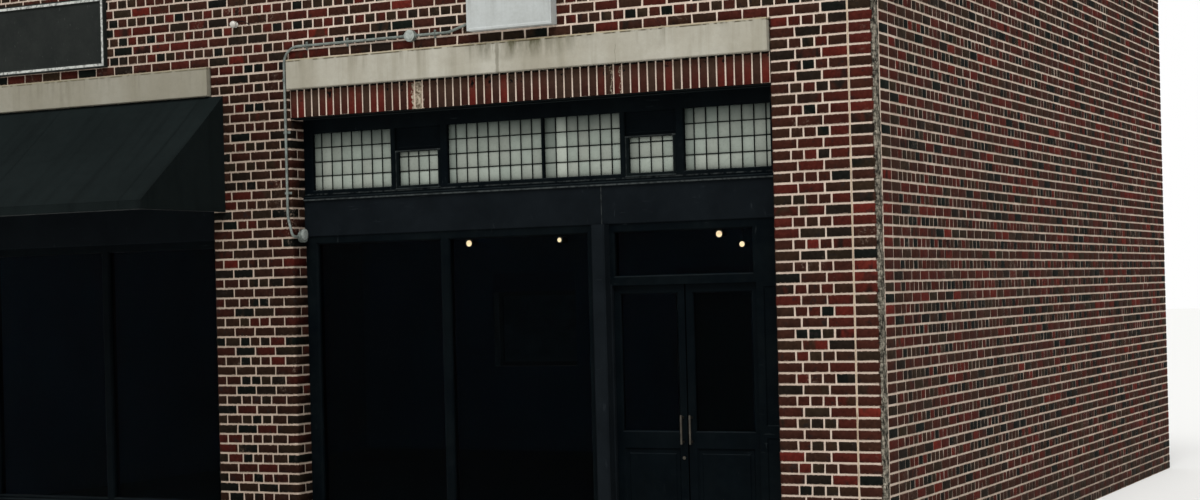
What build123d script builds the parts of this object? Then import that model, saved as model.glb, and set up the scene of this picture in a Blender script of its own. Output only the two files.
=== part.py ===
from build123d import *
import os

# Single-storey shop building of two bays in face brick, standing in a street row.
# Millimetres, +Z up. The street front looks towards -Y. The origin lies on the ground
# under the middle of the plan.

# Brick module: pitch of a stretcher and of a course, joints included
stretcher = 203.2
course = 81.28

# Plan
pier_width = 4 * stretcher
bay_width = 21 * stretcher
strip_width = stretcher
building_depth = 48 * stretcher
wall = 1.5 * stretcher
movement_joint = 12
seal_recess = 6
bullnose = 28

# Levels above the ground
floor_top = 120
lintel_top = 51 * course
lintel_height = 3 * course
soldier_height = 3 * course
parapet_top = 69 * course
roof_underside = 55 * course
roof_thickness = 200

# Stone lintels, steel angles under the soldiers and copings
lintel_depth = 200
lintel_proud = 35
lintel_arris = 6
soldier_depth = 95
soldier_setback = 14
angle_size = 100
angle_thickness = 10
coping_overhang = 45
coping_height = 100
coping_fall = 30
coping_length = 7.5 * stretcher
coping_gap = 5
coping_joint = 8
coping_joint_depth = 6
drip_width = 14
drip_inset = 21

# Shopfront planes, measured back from the brick face
frame_setback = 195
frame_depth = 80
post_setback = 100
leaf_thickness = 45

# Transom lights above the fascia
transom_height = 669.6
transom_sill = 85
transom_rail = 113
transom_jamb = 85
transom_splay = 7
sash_width = 764
hopper_width = 430
centre_wide = 860
centre_narrow = 670
slim_mullion = 18
hopper_mullion = 42
main_mullion = 67
hopper_stile = 30
hopper_height = 316
hopper_head = 14
hopper_lap = 28
hopper_setback = 8
hopper_drip = 12
vent_thickness = 20
vent_border = 24
vent_recess = 5
transom_glass_thickness = 8

# Sill moulding under the transom lights: a square nose with a cove above it
moulding_reach = 26
moulding_nose = 14
moulding_cove = 18
moulding_bead = 8

# Fascia, display window and stall riser
fascia_height = 298
fascia_thickness = 55
fascia_gap = 4
fascia_proud = 12
fascia_arris = 5
display_jamb = 110
display_mullion = 84
display_stile = 84
display_head = 68
display_sill = 60
display_splay = 12
display_left_glass = 1190
sill_reach = 28
sill_nose = 22
sill_fall = 10
riser_top = 5 * course
riser_border = 90
riser_recess = 12
plinth_height = 1.5 * course
plinth_proud = 14
glass_thickness = 10
glass_bite = 8

# Entrance
jamb_width = 215.2
post_width = 112
post_chamfer = 10
post_foot_height = 220
post_foot_proud = 12
leaf_width = 601
meeting_gap = 11
leaf_gap = 6
leaf_bottom = 130
door_stop = 12
stop_clearance = 5
light_height = 334
light_bar = 60
light_stile = 40
light_rail = 68
light_splay = 10
jamb_border = 45
jamb_recess = 8
step_setback = 20
nosing_height = 45
nosing_reach = 25
nosing_radius = 14

# Door leaves
leaf_stile = 62
leaf_top_rail = 76
lock_rail_top = 1097
lock_rail = 130
bottom_rail = 190
panel_thickness = 18
panel_margin = 26
panel_field = 7
bead_splay = 9
leaf_glass_thickness = 10
leaf_glass_bite = 7
hinge_radius = 8
hinge_height = 100
hinge_plate = 3
hinge_reach = 26
hinge_inset = 220
hinge_clearance = 1
hinge_play = 0.4
handle_centre = 1110
handle_length = 220
handle_radius = 9
handle_standoff = 50
handle_post_width = 10
handle_post_height = 14
lock_level = 894
lock_radius = 13
lock_proud = 7

# Awning of the left bay
awning_lap = 142
awning_reach = 1100
awning_top_drop = 36.4
awning_drop = 865
valance_depth = 80
cover_thickness = 8
cover_clearance = 1
awning_tube = 30
rafter_count = 4

# Conduit with its boxes
conduit_diameter = 22
conduit_above_lintel = 104.7
hub_width = 34
hub_length = 12
hub_standoff = 1
box_diameter = 95
box_depth = 38
box_1_setback = 120
box_2_from_pier = 1205
riser_lead = 22
riser_lift = 165
foot_radius = 36
knee_radius = 190
riser_bend = 140
sign_run_lift = 62
sign_run_length = 210
sign_run_bend = 180

# Sign tray and sign board
sign_width = 752
sign_height = 380
sign_depth = 90
sign_lip = 16
sign_recess = 8
sign_above_lintel = 89.7
sign_from_pier = 1768
board_width = 2092
board_height = 610
board_depth = 40
board_above_lintel = 79.7
board_border = 38
board_recess = 10

# Lamps behind the display window
lamp_rail_size = 34
lamp_radius = 30
lamp_neck_radius = 20
lamp_stem = 12
lamp_drop = 70
low_lamp_drop = 153
lamp_clearance = 4
lamp_length = 110
window_lamps = (1523, 2347)
entrance_lamp = 886
low_entrance_lamp = 1072

# Back wall
back_door_width = 5 * stretcher
back_door_top = 27 * course
back_window_width = 6 * stretcher
back_window_base = 15 * course
back_window_top = 27 * course
back_frame_setback = 100
back_frame_depth = 60
back_frame_width = 55
back_leaf_recess = 14
back_leaf_stile = 120
back_lock_rail_top = 1050
back_panel_recess = 10
back_splay = 10
back_sill_height = 50
back_sill_reach = 45
back_sill_fall = 12

# Worked out from the sizes above
front = -building_depth / 2
back = building_depth / 2
half_length = 1.5 * pier_width + bay_width
inner_front = front + wall
inner_back = back - wall
lintel_base = lintel_top - lintel_height
opening_top = lintel_base - soldier_height
transom_base = opening_top - transom_height
fascia_base = transom_base - fascia_height
frame_front = front + frame_setback
frame_back = frame_front + frame_depth
glass_plane = (frame_front + frame_back) / 2
leaf_back = frame_back
leaf_front = leaf_back - leaf_thickness
leaf_plane = (leaf_front + leaf_back) / 2
light_end = fascia_base - light_rail
light_start = light_end - light_height
bar_base = light_start - light_bar
leaf_top = bar_base - leaf_gap
pier_face = pier_width / 2
door_end = bay_width - jamb_width
door_start = door_end - 2 * leaf_gap - 2 * leaf_width - meeting_gap
post_from_pier = door_start - post_width

pieces = {}


def block(x0, x1, y0, y1, z0, z1, mode=Mode.ADD):
    """Adds an upright block between two corners to the part in hand."""
    with BuildSketch(Plane.XY.offset(z0)) as base:
        with Locations(((x0 + x1) / 2, (y0 + y1) / 2)):
            Rectangle(abs(x1 - x0), abs(y1 - y0))
    extrude(base.sketch, amount=z1 - z0, mode=mode)


def along(side, distance):
    """Gives x at a distance from the middle pier into the right (1) or left (-1) bay."""
    return side * (pier_face + distance)


def bay_block(side, u0, u1, y0, y1, z0, z1, mode=Mode.ADD):
    """Adds a block whose x places are distances from the middle pier."""
    block(along(side, u0), along(side, u1), y0, y1, z0, z1, mode)


def splayed(x0, x1, z0, z1, face, inward, depth, mode=Mode.SUBTRACT):
    """Cuts from a face, or adds on it, a block with sides at 45 degrees that narrow inward."""
    plane = Plane(origin=((x0 + x1) / 2, face, (z0 + z1) / 2), x_dir=(1, 0, 0), z_dir=(0, inward, 0))
    with BuildSketch(plane) as base:
        Rectangle(abs(x1 - x0), z1 - z0)
    extrude(base.sketch, amount=depth, taper=45, mode=mode)


def bay_splay(side, u0, u1, z0, z1, face, depth):
    """Cuts a splayed edge round a light of a bay, on the street side of its frame."""
    splayed(along(side, u0 - depth), along(side, u1 + depth), z0 - depth, z1 + depth, face, 1, depth)


def frame_of_lights(side, lights, y0, y1, z0, z1, bottom, top, splay):
    """Adds a frame over the bay's lights, given as (start, end) distances, with splayed openings."""
    bay_block(side, lights[0], lights[-1], y0, y1, z0, z1)
    for start, end in lights[1:-1]:
        bay_block(side, start, end, y0, y1, z0 + bottom, z1 - top, Mode.SUBTRACT)
        bay_splay(side, start, end, z0 + bottom, z1 - top, y0, splay)


def bay_profile(side, u0, u1, outline):
    """Runs a section, drawn as (y, z) lines, along a bay between two distances."""
    first = min(along(side, u0), along(side, u1))
    with BuildSketch(Plane.YZ.offset(first)) as section:
        make_face(outline.line)
    extrude(section.sketch, amount=abs(u1 - u0))


# Masonry of the street front

with BuildPart() as floor_slab:
    block(-half_length + wall, half_length - wall, inner_front, inner_back, 0, floor_top)
pieces["floor_slab"] = floor_slab

with BuildPart() as pier_left:
    block(-half_length, -half_length + pier_width, front, inner_front, 0, lintel_top)
    fillet(pier_left.edges().filter_by(Axis.Z).group_by(Axis.Y)[0].sort_by(Axis.X)[-1], bullnose)
pieces["pier_left"] = pier_left

with BuildPart() as pier_middle:
    block(-pier_face, pier_face, front, inner_front, 0, lintel_top)
    fillet(pier_middle.edges().filter_by(Axis.Z).group_by(Axis.Y)[0], bullnose)
pieces["pier_middle"] = pier_middle

strip_start = half_length - strip_width
seal_start = strip_start - movement_joint / 2
seal_end = strip_start + movement_joint / 2
with BuildPart() as pier_right:
    block(half_length - pier_width, seal_start, front, inner_front, 0, lintel_top)
    fillet(pier_right.edges().filter_by(Axis.Z).group_by(Axis.Y)[0].sort_by(Axis.X)[0], bullnose)
pieces["pier_right"] = pier_right

with BuildPart() as end_strip:
    block(seal_end, half_length, front, inner_front, 0, parapet_top)
pieces["end_strip"] = end_strip

with BuildPart() as movement_joint_seal:
    block(seal_start, seal_end, front + seal_recess, inner_front, 0, parapet_top)
pieces["movement_joint_seal"] = movement_joint_seal

with BuildPart() as front_wall_top:
    block(-half_length, seal_start, front, inner_front, lintel_top, parapet_top)
pieces["front_wall_top"] = front_wall_top

# Side, back and roof

with BuildPart() as party_wall_left:
    block(-half_length, -half_length + wall, inner_front, inner_back, 0, parapet_top)
pieces["party_wall_left"] = party_wall_left

with BuildPart() as party_wall_right:
    block(half_length - wall, half_length, inner_front, inner_back, 0, parapet_top)
pieces["party_wall_right"] = party_wall_right

back_window_centre = bay_width / 2
back_door_half = back_door_width / 2
back_window_half = back_window_width / 2
with BuildPart() as back_wall:
    block(-half_length, half_length, inner_back, back, 0, parapet_top)
    block(-back_door_half, back_door_half, inner_back, back, 0, back_door_top + lintel_height, Mode.SUBTRACT)
    for side in (-1, 1):
        bay_block(side, back_window_centre - back_window_half, back_window_centre + back_window_half,
                  inner_back, back, back_window_base, back_window_top + lintel_height, Mode.SUBTRACT)
pieces["back_wall"] = back_wall

with BuildPart() as roof_slab:
    block(-half_length + wall, half_length - wall, inner_front, inner_back, roof_underside,
          roof_underside + roof_thickness)
pieces["roof_slab"] = roof_slab

# Copings with a fall to the roof, a drip under each edge and a groove at each joint

coping_half = wall / 2 + coping_overhang
with BuildSketch() as coping_section:
    with BuildLine():
        Polyline((-coping_half, 0), (coping_half, 0), (coping_half, coping_height - coping_fall),
                 (-coping_half, coping_height), close=True)
    make_face()
    with Locations((drip_inset - coping_half, 0), (coping_half - drip_inset, 0)):
        Rectangle(drip_width, drip_width, mode=Mode.SUBTRACT)
with BuildSketch() as joint_section:
    with BuildLine():
        Polyline((-coping_half, 0), (coping_half, 0), (coping_half, coping_height - coping_fall),
                 (-coping_half, coping_height), close=True)
    make_face()
    with BuildLine():
        Polyline((-coping_half + coping_joint_depth, 0), (coping_half - coping_joint_depth, 0),
                 (coping_half - coping_joint_depth, coping_height - coping_fall - coping_joint_depth),
                 (-coping_half + coping_joint_depth, coping_height - coping_joint_depth), close=True)
    make_face(mode=Mode.SUBTRACT)

long_run = half_length + coping_overhang
short_run = building_depth / 2 - wall - coping_overhang - coping_gap
with BuildPart() as copings:
    for outward, centre, half_run in (
        (Vector(0, -1, 0), Vector(0, front + wall / 2, parapet_top), long_run),
        (Vector(0, 1, 0), Vector(0, back - wall / 2, parapet_top), long_run),
        (Vector(-1, 0, 0), Vector(-half_length + wall / 2, 0, parapet_top), short_run),
        (Vector(1, 0, 0), Vector(half_length - wall / 2, 0, parapet_top), short_run),
    ):
        run_plane = Plane(origin=centre, x_dir=outward * -1, z_dir=outward.cross(Vector(0, 0, 1)) * -1)
        extrude(run_plane * coping_section.sketch, amount=half_run, both=True)
        stones = int(2 * half_run / coping_length)
        for number in range(1, stones):
            joint_plane = run_plane.offset(2 * half_run * number / stones - half_run)
            extrude(joint_plane * joint_section.sketch, amount=coping_joint / 2, both=True, mode=Mode.SUBTRACT)
pieces["copings"] = copings

# Stone lintels, soldier courses and the steel angles that carry them

with BuildPart() as stone_lintels:
    for side in (-1, 1):
        bay_block(side, 0, bay_width, front - lintel_proud, front + lintel_depth, lintel_base, lintel_top)
    chamfer(stone_lintels.edges().filter_by(Axis.X).group_by(Axis.Y)[0], lintel_arris)
pieces["stone_lintels"] = stone_lintels

soldier_front = front + soldier_setback
with BuildPart() as soldier_courses:
    for side in (-1, 1):
        bay_block(side, 0, bay_width, soldier_front, soldier_front + soldier_depth,
                  opening_top + angle_thickness, lintel_base)
pieces["soldier_courses"] = soldier_courses

leg_front = soldier_front + soldier_depth - angle_size + angle_thickness
with BuildPart() as lintel_angles:
    for side in (-1, 1):
        bay_block(side, 0, bay_width, leg_front, leg_front + angle_size, opening_top, opening_top + angle_thickness)
        bay_block(side, 0, bay_width, leg_front + angle_size - angle_thickness, leg_front + angle_size,
                  opening_top, opening_top + angle_size)
pieces["lintel_angles"] = lintel_angles

# Inner lintel behind the angles, which carries the wall above
with BuildPart() as inner_lintels:
    for side in (-1, 1):
        bay_block(side, 0, bay_width, front + lintel_depth, inner_front, opening_top, lintel_top)
pieces["inner_lintels"] = inner_lintels

# Transom lights

sash_1 = (transom_jamb, transom_jamb + sash_width)
hopper_1 = (sash_1[1] + hopper_mullion, sash_1[1] + hopper_mullion + hopper_width)
centre_1 = (hopper_1[1] + main_mullion, hopper_1[1] + main_mullion + centre_wide)
centre_2 = (centre_1[1] + slim_mullion, centre_1[1] + slim_mullion + centre_narrow)
hopper_2 = (centre_2[1] + hopper_mullion, centre_2[1] + hopper_mullion + hopper_width)
sash_2 = (hopper_2[1] + main_mullion, bay_width - transom_jamb)
fixed_lights = (sash_1, centre_1, centre_2, sash_2)
hoppers = (hopper_1, hopper_2)
transom_lights = [0, sash_1, hopper_1, centre_1, centre_2, hopper_2, sash_2, bay_width]
transom_light_base = transom_base + transom_sill
transom_light_top = opening_top - transom_rail
hopper_base = transom_light_base - hopper_lap
hopper_top = hopper_base + hopper_height
hopper_front = frame_front + hopper_setback
hopper_back = frame_back - hopper_setback


def sill_moulding(side):
    """Adds the moulding under the lights: nose, cove and a bead against the frame."""
    nose_y = frame_front - moulding_reach
    bead_y = frame_front - moulding_bead
    cove_base = transom_base + moulding_nose
    cove_top = cove_base + moulding_cove
    with BuildLine() as outline:
        Polyline((frame_front, cove_top + moulding_bead), (frame_front, transom_base), (nose_y, transom_base),
                 (nose_y, cove_base))
        RadiusArc((nose_y, cove_base), (bead_y, cove_top), moulding_cove)
        Polyline((bead_y, cove_top), (bead_y, cove_top + moulding_bead), (frame_front, cove_top + moulding_bead))
    bay_profile(side, 0, bay_width, outline)


def transom_frame(side):
    """Builds the transom frame of one bay with its sill moulding."""
    frame_of_lights(side, transom_lights, frame_front, frame_back, transom_base, opening_top,
                    transom_sill, transom_rail, transom_splay)
    for start, end in hoppers:
        bay_block(side, start, end, frame_front, frame_back, hopper_base, transom_light_base, Mode.SUBTRACT)
    sill_moulding(side)


with BuildPart() as right_transom_frame:
    transom_frame(1)
pieces["right_transom_frame"] = right_transom_frame

with BuildPart() as left_transom_frame:
    transom_frame(-1)
pieces["left_transom_frame"] = left_transom_frame

with BuildPart() as transom_glass:
    for side in (-1, 1):
        for start, end in fixed_lights:
            bay_block(side, start, end, glass_plane - transom_glass_thickness / 2,
                      glass_plane + transom_glass_thickness / 2, transom_light_base, transom_light_top)
pieces["transom_glass"] = transom_glass


def hopper_sash(side, start, end):
    """Adds one hopper sash: a splayed frame with a sloped drip on its bottom rail."""
    sight_base = hopper_base + hopper_stile
    sight_top = hopper_top - hopper_head
    bay_block(side, start, end, hopper_front, hopper_back, hopper_base, hopper_top)
    bay_block(side, start + hopper_stile, end - hopper_stile, hopper_front, hopper_back,
              sight_base, sight_top, Mode.SUBTRACT)
    bay_splay(side, start + hopper_stile, end - hopper_stile, sight_base, sight_top, hopper_front, transom_splay)
    with BuildLine() as outline:
        Polyline((hopper_front, hopper_base), (hopper_front - hopper_drip, hopper_base),
                 (hopper_front, hopper_base + hopper_drip), close=True)
    bay_profile(side, start, end, outline)


with BuildPart() as hopper_sashes:
    for side in (-1, 1):
        for start, end in hoppers:
            hopper_sash(side, start, end)
pieces["hopper_sashes"] = hopper_sashes

with BuildPart() as hopper_glass:
    for side in (-1, 1):
        for start, end in hoppers:
            bay_block(side, start + hopper_stile, end - hopper_stile, glass_plane - transom_glass_thickness / 2,
                      glass_plane + transom_glass_thickness / 2, hopper_base + hopper_stile,
                      hopper_top - hopper_head)
pieces["hopper_glass"] = hopper_glass

vent_front = glass_plane - vent_thickness / 2
with BuildPart() as vent_panels:
    for side in (-1, 1):
        for start, end in hoppers:
            bay_block(side, start, end, vent_front, glass_plane + vent_thickness / 2, hopper_top, transom_light_top)
            splayed(along(side, start + vent_border), along(side, end - vent_border), hopper_top + vent_border,
                    transom_light_top - vent_border, vent_front, 1, vent_recess)
pieces["vent_panels"] = vent_panels

# Fascia boards under the transom, with eased lower edges and a gap on the line of the post

post_line = post_from_pier + post_width / 2
fascia_face = frame_front - fascia_proud
with BuildPart() as fascia_panels:
    for side in (-1, 1):
        for start, end in ((0, post_line - fascia_gap / 2), (post_line + fascia_gap / 2, bay_width)):
            bay_block(side, start, end, fascia_face, frame_front + fascia_thickness, fascia_base, transom_base)
    chamfer(fascia_panels.edges().filter_by(Axis.X).group_by(Axis.Y)[0].group_by(Axis.Z)[0], fascia_arris)
pieces["fascia_panels"] = fascia_panels

# Display windows and stall risers

pane_1 = (display_jamb, display_jamb + display_left_glass)
pane_2 = (pane_1[1] + display_mullion, post_from_pier - display_stile)
display_lights = [0, pane_1, pane_2, post_from_pier]
display_base = riser_top + display_sill
display_top = fascia_base - display_head
glass_front = glass_plane - glass_thickness / 2
glass_back = glass_plane + glass_thickness / 2


def glass_rebate(side, start, end, z0, z1):
    """Cuts the rebate that holds a pane's edges."""
    bay_block(side, start - glass_bite, end + glass_bite, glass_front, glass_back, z0 - glass_bite, z1 + glass_bite,
              Mode.SUBTRACT)


def pane(side, start, end, z0, z1):
    """Adds a pane that reaches into its rebate."""
    bay_block(side, start - glass_bite, end + glass_bite, glass_front, glass_back, z0 - glass_bite, z1 + glass_bite)


def display_frame(side):
    """Builds the frame of one display window, with rebates for its panes and a sloped sill."""
    frame_of_lights(side, display_lights, frame_front, frame_back, riser_top, fascia_base,
                    display_sill, display_head, display_splay)
    for start, end in (pane_1, pane_2):
        glass_rebate(side, start, end, display_base, display_top)
    with BuildLine() as outline:
        Polyline((frame_front, riser_top), (frame_front - sill_reach, riser_top),
                 (frame_front - sill_reach, riser_top + sill_nose),
                 (frame_front, riser_top + sill_nose + sill_fall), close=True)
    bay_profile(side, 0, post_from_pier, outline)


with BuildPart() as right_display_frame:
    display_frame(1)
pieces["right_display_frame"] = right_display_frame

with BuildPart() as left_display_frame:
    display_frame(-1)
pieces["left_display_frame"] = left_display_frame

with BuildPart() as display_glass:
    for side in (-1, 1):
        for start, end in (pane_1, pane_2):
            pane(side, start, end, display_base, display_top)
pieces["display_glass"] = display_glass


def stall_riser(side):
    """Adds the riser under a display window: a plinth with a weathered top, and a panel under each pane."""
    bay_block(side, 0, post_from_pier, frame_front, inner_front, 0, riser_top)
    with BuildLine() as outline:
        Polyline((frame_front, 0), (frame_front - plinth_proud, 0), (frame_front - plinth_proud, plinth_height),
                 (frame_front, plinth_height + plinth_proud), close=True)
    bay_profile(side, 0, post_from_pier, outline)
    panel_low = plinth_height + plinth_proud + riser_border / 2
    for start, end in ((riser_border, pane_1[1]), (pane_2[0], post_from_pier - riser_border)):
        splayed(along(side, start), along(side, end), panel_low, riser_top - riser_border / 2, frame_front, 1,
                riser_recess)


with BuildPart() as stall_risers:
    for side in (-1, 1):
        stall_riser(side)
pieces["stall_risers"] = stall_risers

# Entrance of the right bay, and the fixed pair of the left bay

stop_back = leaf_front - stop_clearance
post_front = front + post_setback


def entrance_post(side):
    """Adds a post with chamfered corners, a foot in front and a stop for the leaf beside it."""
    with BuildSketch(Plane.XY.offset(floor_top)) as section:
        with Locations((along(side, post_line), (post_front + frame_back) / 2)):
            Rectangle(post_width, frame_back - post_front)
        chamfer(section.vertices().group_by(Axis.Y)[0], post_chamfer)
    extrude(section.sketch, amount=fascia_base - floor_top)
    bay_block(side, post_from_pier, door_start, post_front - post_foot_proud, post_front + post_chamfer,
              floor_top, floor_top + post_foot_height)
    bay_block(side, door_start, door_start + door_stop, frame_front, stop_back, floor_top, bar_base)


with BuildPart() as entrance_posts:
    for side in (-1, 1):
        entrance_post(side)
pieces["entrance_posts"] = entrance_posts

with BuildPart() as entrance_jambs:
    for side in (-1, 1):
        bay_block(side, door_end, bay_width, frame_front, frame_back, floor_top, fascia_base)
        bay_block(side, door_end - door_stop, door_end, frame_front, stop_back, floor_top, bar_base)
        for low, high in ((leaf_bottom, lock_rail_top), (lock_rail_top, bar_base)):
            splayed(along(side, door_end + jamb_border), along(side, bay_width - jamb_border), low + jamb_border,
                    high - jamb_border, frame_front, 1, jamb_recess)
pieces["entrance_jambs"] = entrance_jambs

head_light = (door_start + light_stile, door_end - light_stile)
with BuildPart() as entrance_heads:
    for side in (-1, 1):
        frame_of_lights(side, [door_start, head_light, door_end], frame_front, frame_back, bar_base, fascia_base,
                        light_bar, light_rail, light_splay)
        glass_rebate(side, *head_light, light_start, light_end)
        bay_block(side, door_start + door_stop, door_end - door_stop, frame_front, stop_back,
                  bar_base - door_stop, bar_base)
pieces["entrance_heads"] = entrance_heads

with BuildPart() as entrance_lights:
    for side in (-1, 1):
        pane(side, *head_light, light_start, light_end)
pieces["entrance_lights"] = entrance_lights

step_front = front + step_setback
with BuildPart() as entrance_steps:
    for side in (-1, 1):
        with BuildSketch(Plane.YZ.offset(min(along(side, post_from_pier), along(side, bay_width)))) as section:
            with BuildLine():
                Polyline((inner_front, 0), (step_front + nosing_reach, 0),
                         (step_front + nosing_reach, floor_top - nosing_height),
                         (step_front, floor_top - nosing_height), (step_front, floor_top), (inner_front, floor_top),
                         close=True)
            make_face()
            fillet(section.vertices().group_by(Axis.X)[0], nosing_radius)
        extrude(section.sketch, amount=bay_width - post_from_pier)
pieces["entrance_steps"] = entrance_steps

# Door leaves: stiles and rails, a beaded pane above the lock rail and a fielded panel below it

leaf_1 = (door_start + leaf_gap, door_start + leaf_gap + leaf_width)
leaf_2 = (leaf_1[1] + meeting_gap, leaf_1[1] + meeting_gap + leaf_width)
pane_top = leaf_top - leaf_top_rail
panel_top = lock_rail_top - lock_rail
panel_base = leaf_bottom + bottom_rail
panel_depth = (leaf_thickness - panel_thickness) / 2
field_inset = panel_depth + panel_margin
hinge_y = leaf_back + hinge_radius + hinge_clearance
hinge_levels = (leaf_bottom + hinge_inset, (leaf_bottom + leaf_top) / 2, leaf_top - hinge_inset)
leaf_glass_front = leaf_plane - leaf_glass_thickness / 2
leaf_glass_back = leaf_plane + leaf_glass_thickness / 2


def leaf_face(x0, x1, face, inward):
    """Shapes one face of a leaf: splayed beads round the pane and a fielded panel in a moulded recess."""
    splayed(x0 - bead_splay, x1 + bead_splay, lock_rail_top - bead_splay, pane_top + bead_splay, face, inward,
            bead_splay)
    splayed(x0, x1, panel_base, panel_top, face, inward, panel_depth)
    splayed(x0 + field_inset, x1 - field_inset, panel_base + field_inset, panel_top - field_inset,
            face + inward * panel_depth, -inward, panel_field, Mode.ADD)


def door_leaf(side, leaf):
    """Builds one leaf in its closed place."""
    start, end = leaf
    bay_block(side, start, end, leaf_front, leaf_back, leaf_bottom, leaf_top)
    bay_block(side, start + leaf_stile, end - leaf_stile, leaf_front, leaf_back, lock_rail_top, pane_top,
              Mode.SUBTRACT)
    bay_block(side, start + leaf_stile - leaf_glass_bite, end - leaf_stile + leaf_glass_bite, leaf_glass_front,
              leaf_glass_back, lock_rail_top - leaf_glass_bite, pane_top + leaf_glass_bite, Mode.SUBTRACT)
    x0, x1 = sorted((along(side, start + leaf_stile), along(side, end - leaf_stile)))
    leaf_face(x0, x1, leaf_front, 1)
    leaf_face(x0, x1, leaf_back, -1)


def hinge(side, pin, plate_start, plate_end, base, height):
    """Adds a knuckle round the pin and the plate behind it, which lies on a flat face."""
    with BuildSketch(Plane.XY.offset(base)) as section:
        with Locations((along(side, pin), hinge_y)):
            Circle(hinge_radius)
        with Locations(((along(side, plate_start) + along(side, plate_end)) / 2, leaf_back + hinge_plate / 2)):
            Rectangle(abs(plate_end - plate_start), hinge_plate)
    extrude(section.sketch, amount=height)


def leaf_glass(side, leaf):
    """Adds the pane of one leaf, which reaches into its rebate."""
    bay_block(side, leaf[0] + leaf_stile - leaf_glass_bite, leaf[1] - leaf_stile + leaf_glass_bite,
              leaf_glass_front, leaf_glass_back, lock_rail_top - leaf_glass_bite, pane_top + leaf_glass_bite)


def pull_handle(side, stile_centre):
    """Adds the pull handles on both faces of a meeting stile."""
    x = along(side, stile_centre)
    for face, out in ((leaf_front, -1), (leaf_back, 1)):
        grip_y = face + out * handle_standoff
        with BuildSketch(Plane.XY.offset(handle_centre - handle_length / 2)) as grip:
            with Locations((x, grip_y)):
                Circle(handle_radius)
        extrude(grip.sketch, amount=handle_length)
        for level in (-1, 1):
            post_centre = handle_centre + level * (handle_length / 2 - 2 * handle_radius)
            block(x - handle_post_width / 2, x + handle_post_width / 2, face, grip_y,
                  post_centre - handle_post_height / 2, post_centre + handle_post_height / 2)


def lock_cylinder(side, stile_centre):
    """Adds the lock's rose on both faces of a meeting stile."""
    for face, out in ((leaf_front, -1), (leaf_back, 1)):
        rose = Plane(origin=(along(side, stile_centre), face, lock_level), x_dir=(1, 0, 0), z_dir=(0, out, 0))
        with BuildSketch(rose) as disc:
            Circle(lock_radius)
        extrude(disc.sketch, amount=lock_proud)


left_pin = door_start + leaf_gap / 2
right_pin = door_end - leaf_gap / 2
half_knuckle = (hinge_height - hinge_play) / 2


def moving_hinges(side, pin, toward):
    """Adds the upper hinge halves, which turn with the leaf."""
    for level in hinge_levels:
        hinge(side, pin, pin, pin + toward * hinge_reach, level + hinge_play / 2, half_knuckle)


with BuildPart() as door_left:
    door_leaf(1, leaf_1)
    moving_hinges(1, left_pin, 1)
pieces["door_left"] = door_left

with BuildPart() as door_right:
    door_leaf(1, leaf_2)
    moving_hinges(1, right_pin, -1)
pieces["door_right"] = door_right

with BuildPart() as left_bay_doors:
    for leaf in (leaf_1, leaf_2):
        door_leaf(-1, leaf)
pieces["left_bay_doors"] = left_bay_doors

# Lower halves for the leaves that open, and whole hinges for the shut pair
with BuildPart() as door_hinges:
    for level in hinge_levels:
        hinge_base = level - hinge_height / 2
        hinge(1, left_pin, left_pin - hinge_reach, left_pin, hinge_base, half_knuckle)
        hinge(1, right_pin, right_pin, right_pin + hinge_reach, hinge_base, half_knuckle)
        for pin in (left_pin, right_pin):
            hinge(-1, pin, pin - hinge_reach, pin + hinge_reach, hinge_base, hinge_height)
pieces["door_hinges"] = door_hinges

with BuildPart() as door_left_glass:
    leaf_glass(1, leaf_1)
pieces["door_left_glass"] = door_left_glass

with BuildPart() as door_right_glass:
    leaf_glass(1, leaf_2)
pieces["door_right_glass"] = door_right_glass

with BuildPart() as door_left_handle:
    pull_handle(1, leaf_1[1] - leaf_stile / 2)
    lock_cylinder(1, leaf_1[1] - leaf_stile / 2)
pieces["door_left_handle"] = door_left_handle

with BuildPart() as door_right_handle:
    pull_handle(1, leaf_2[0] + leaf_stile / 2)
pieces["door_right_handle"] = door_right_handle

with BuildPart() as left_bay_door_glass:
    leaf_glass(-1, leaf_1)
    leaf_glass(-1, leaf_2)
pieces["left_bay_door_glass"] = left_bay_door_glass

# Back door and windows, with stone lintels and sills

back_frame_back = back - back_frame_setback
back_frame_front = back_frame_back - back_frame_depth
back_windows = (along(-1, back_window_centre), along(1, back_window_centre))

with BuildPart() as back_lintels:
    block(-back_door_half, back_door_half, inner_back, back, back_door_top, back_door_top + lintel_height)
    for centre in back_windows:
        block(centre - back_window_half, centre + back_window_half, inner_back, back, back_window_top,
              back_window_top + lintel_height)
        with BuildSketch(Plane.YZ.offset(centre - back_window_half)) as sill:
            with BuildLine():
                Polyline((back_frame_back, back_window_base), (back + back_sill_reach, back_window_base),
                         (back + back_sill_reach, back_window_base + back_sill_height - back_sill_fall),
                         (back_frame_back, back_window_base + back_sill_height), close=True)
            make_face()
        extrude(sill.sketch, amount=back_window_width)
pieces["back_lintels"] = back_lintels

back_leaf_edge = back_door_half - back_frame_width
back_leaf_top = back_door_top - back_frame_width
back_panel_edge = back_leaf_edge - back_leaf_stile
back_leaf_face = back_frame_back - back_leaf_recess
with BuildPart() as back_door:
    block(-back_door_half, back_door_half, back_frame_front, back_frame_back, 0, back_door_top)
    block(-back_leaf_edge, back_leaf_edge, back_leaf_face, back_frame_back, floor_top, back_leaf_top, Mode.SUBTRACT)
    for low, high in ((floor_top, back_lock_rail_top), (back_lock_rail_top - back_leaf_stile, back_leaf_top)):
        splayed(-back_panel_edge, back_panel_edge, low + back_leaf_stile, high - back_leaf_stile, back_leaf_face,
                -1, back_panel_recess)
pieces["back_door"] = back_door

back_pane_half = back_window_half - back_frame_width
back_pane_base = back_window_base + back_frame_width
back_pane_top = back_window_top - back_frame_width
back_glass_plane = (back_frame_front + back_frame_back) / 2

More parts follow.
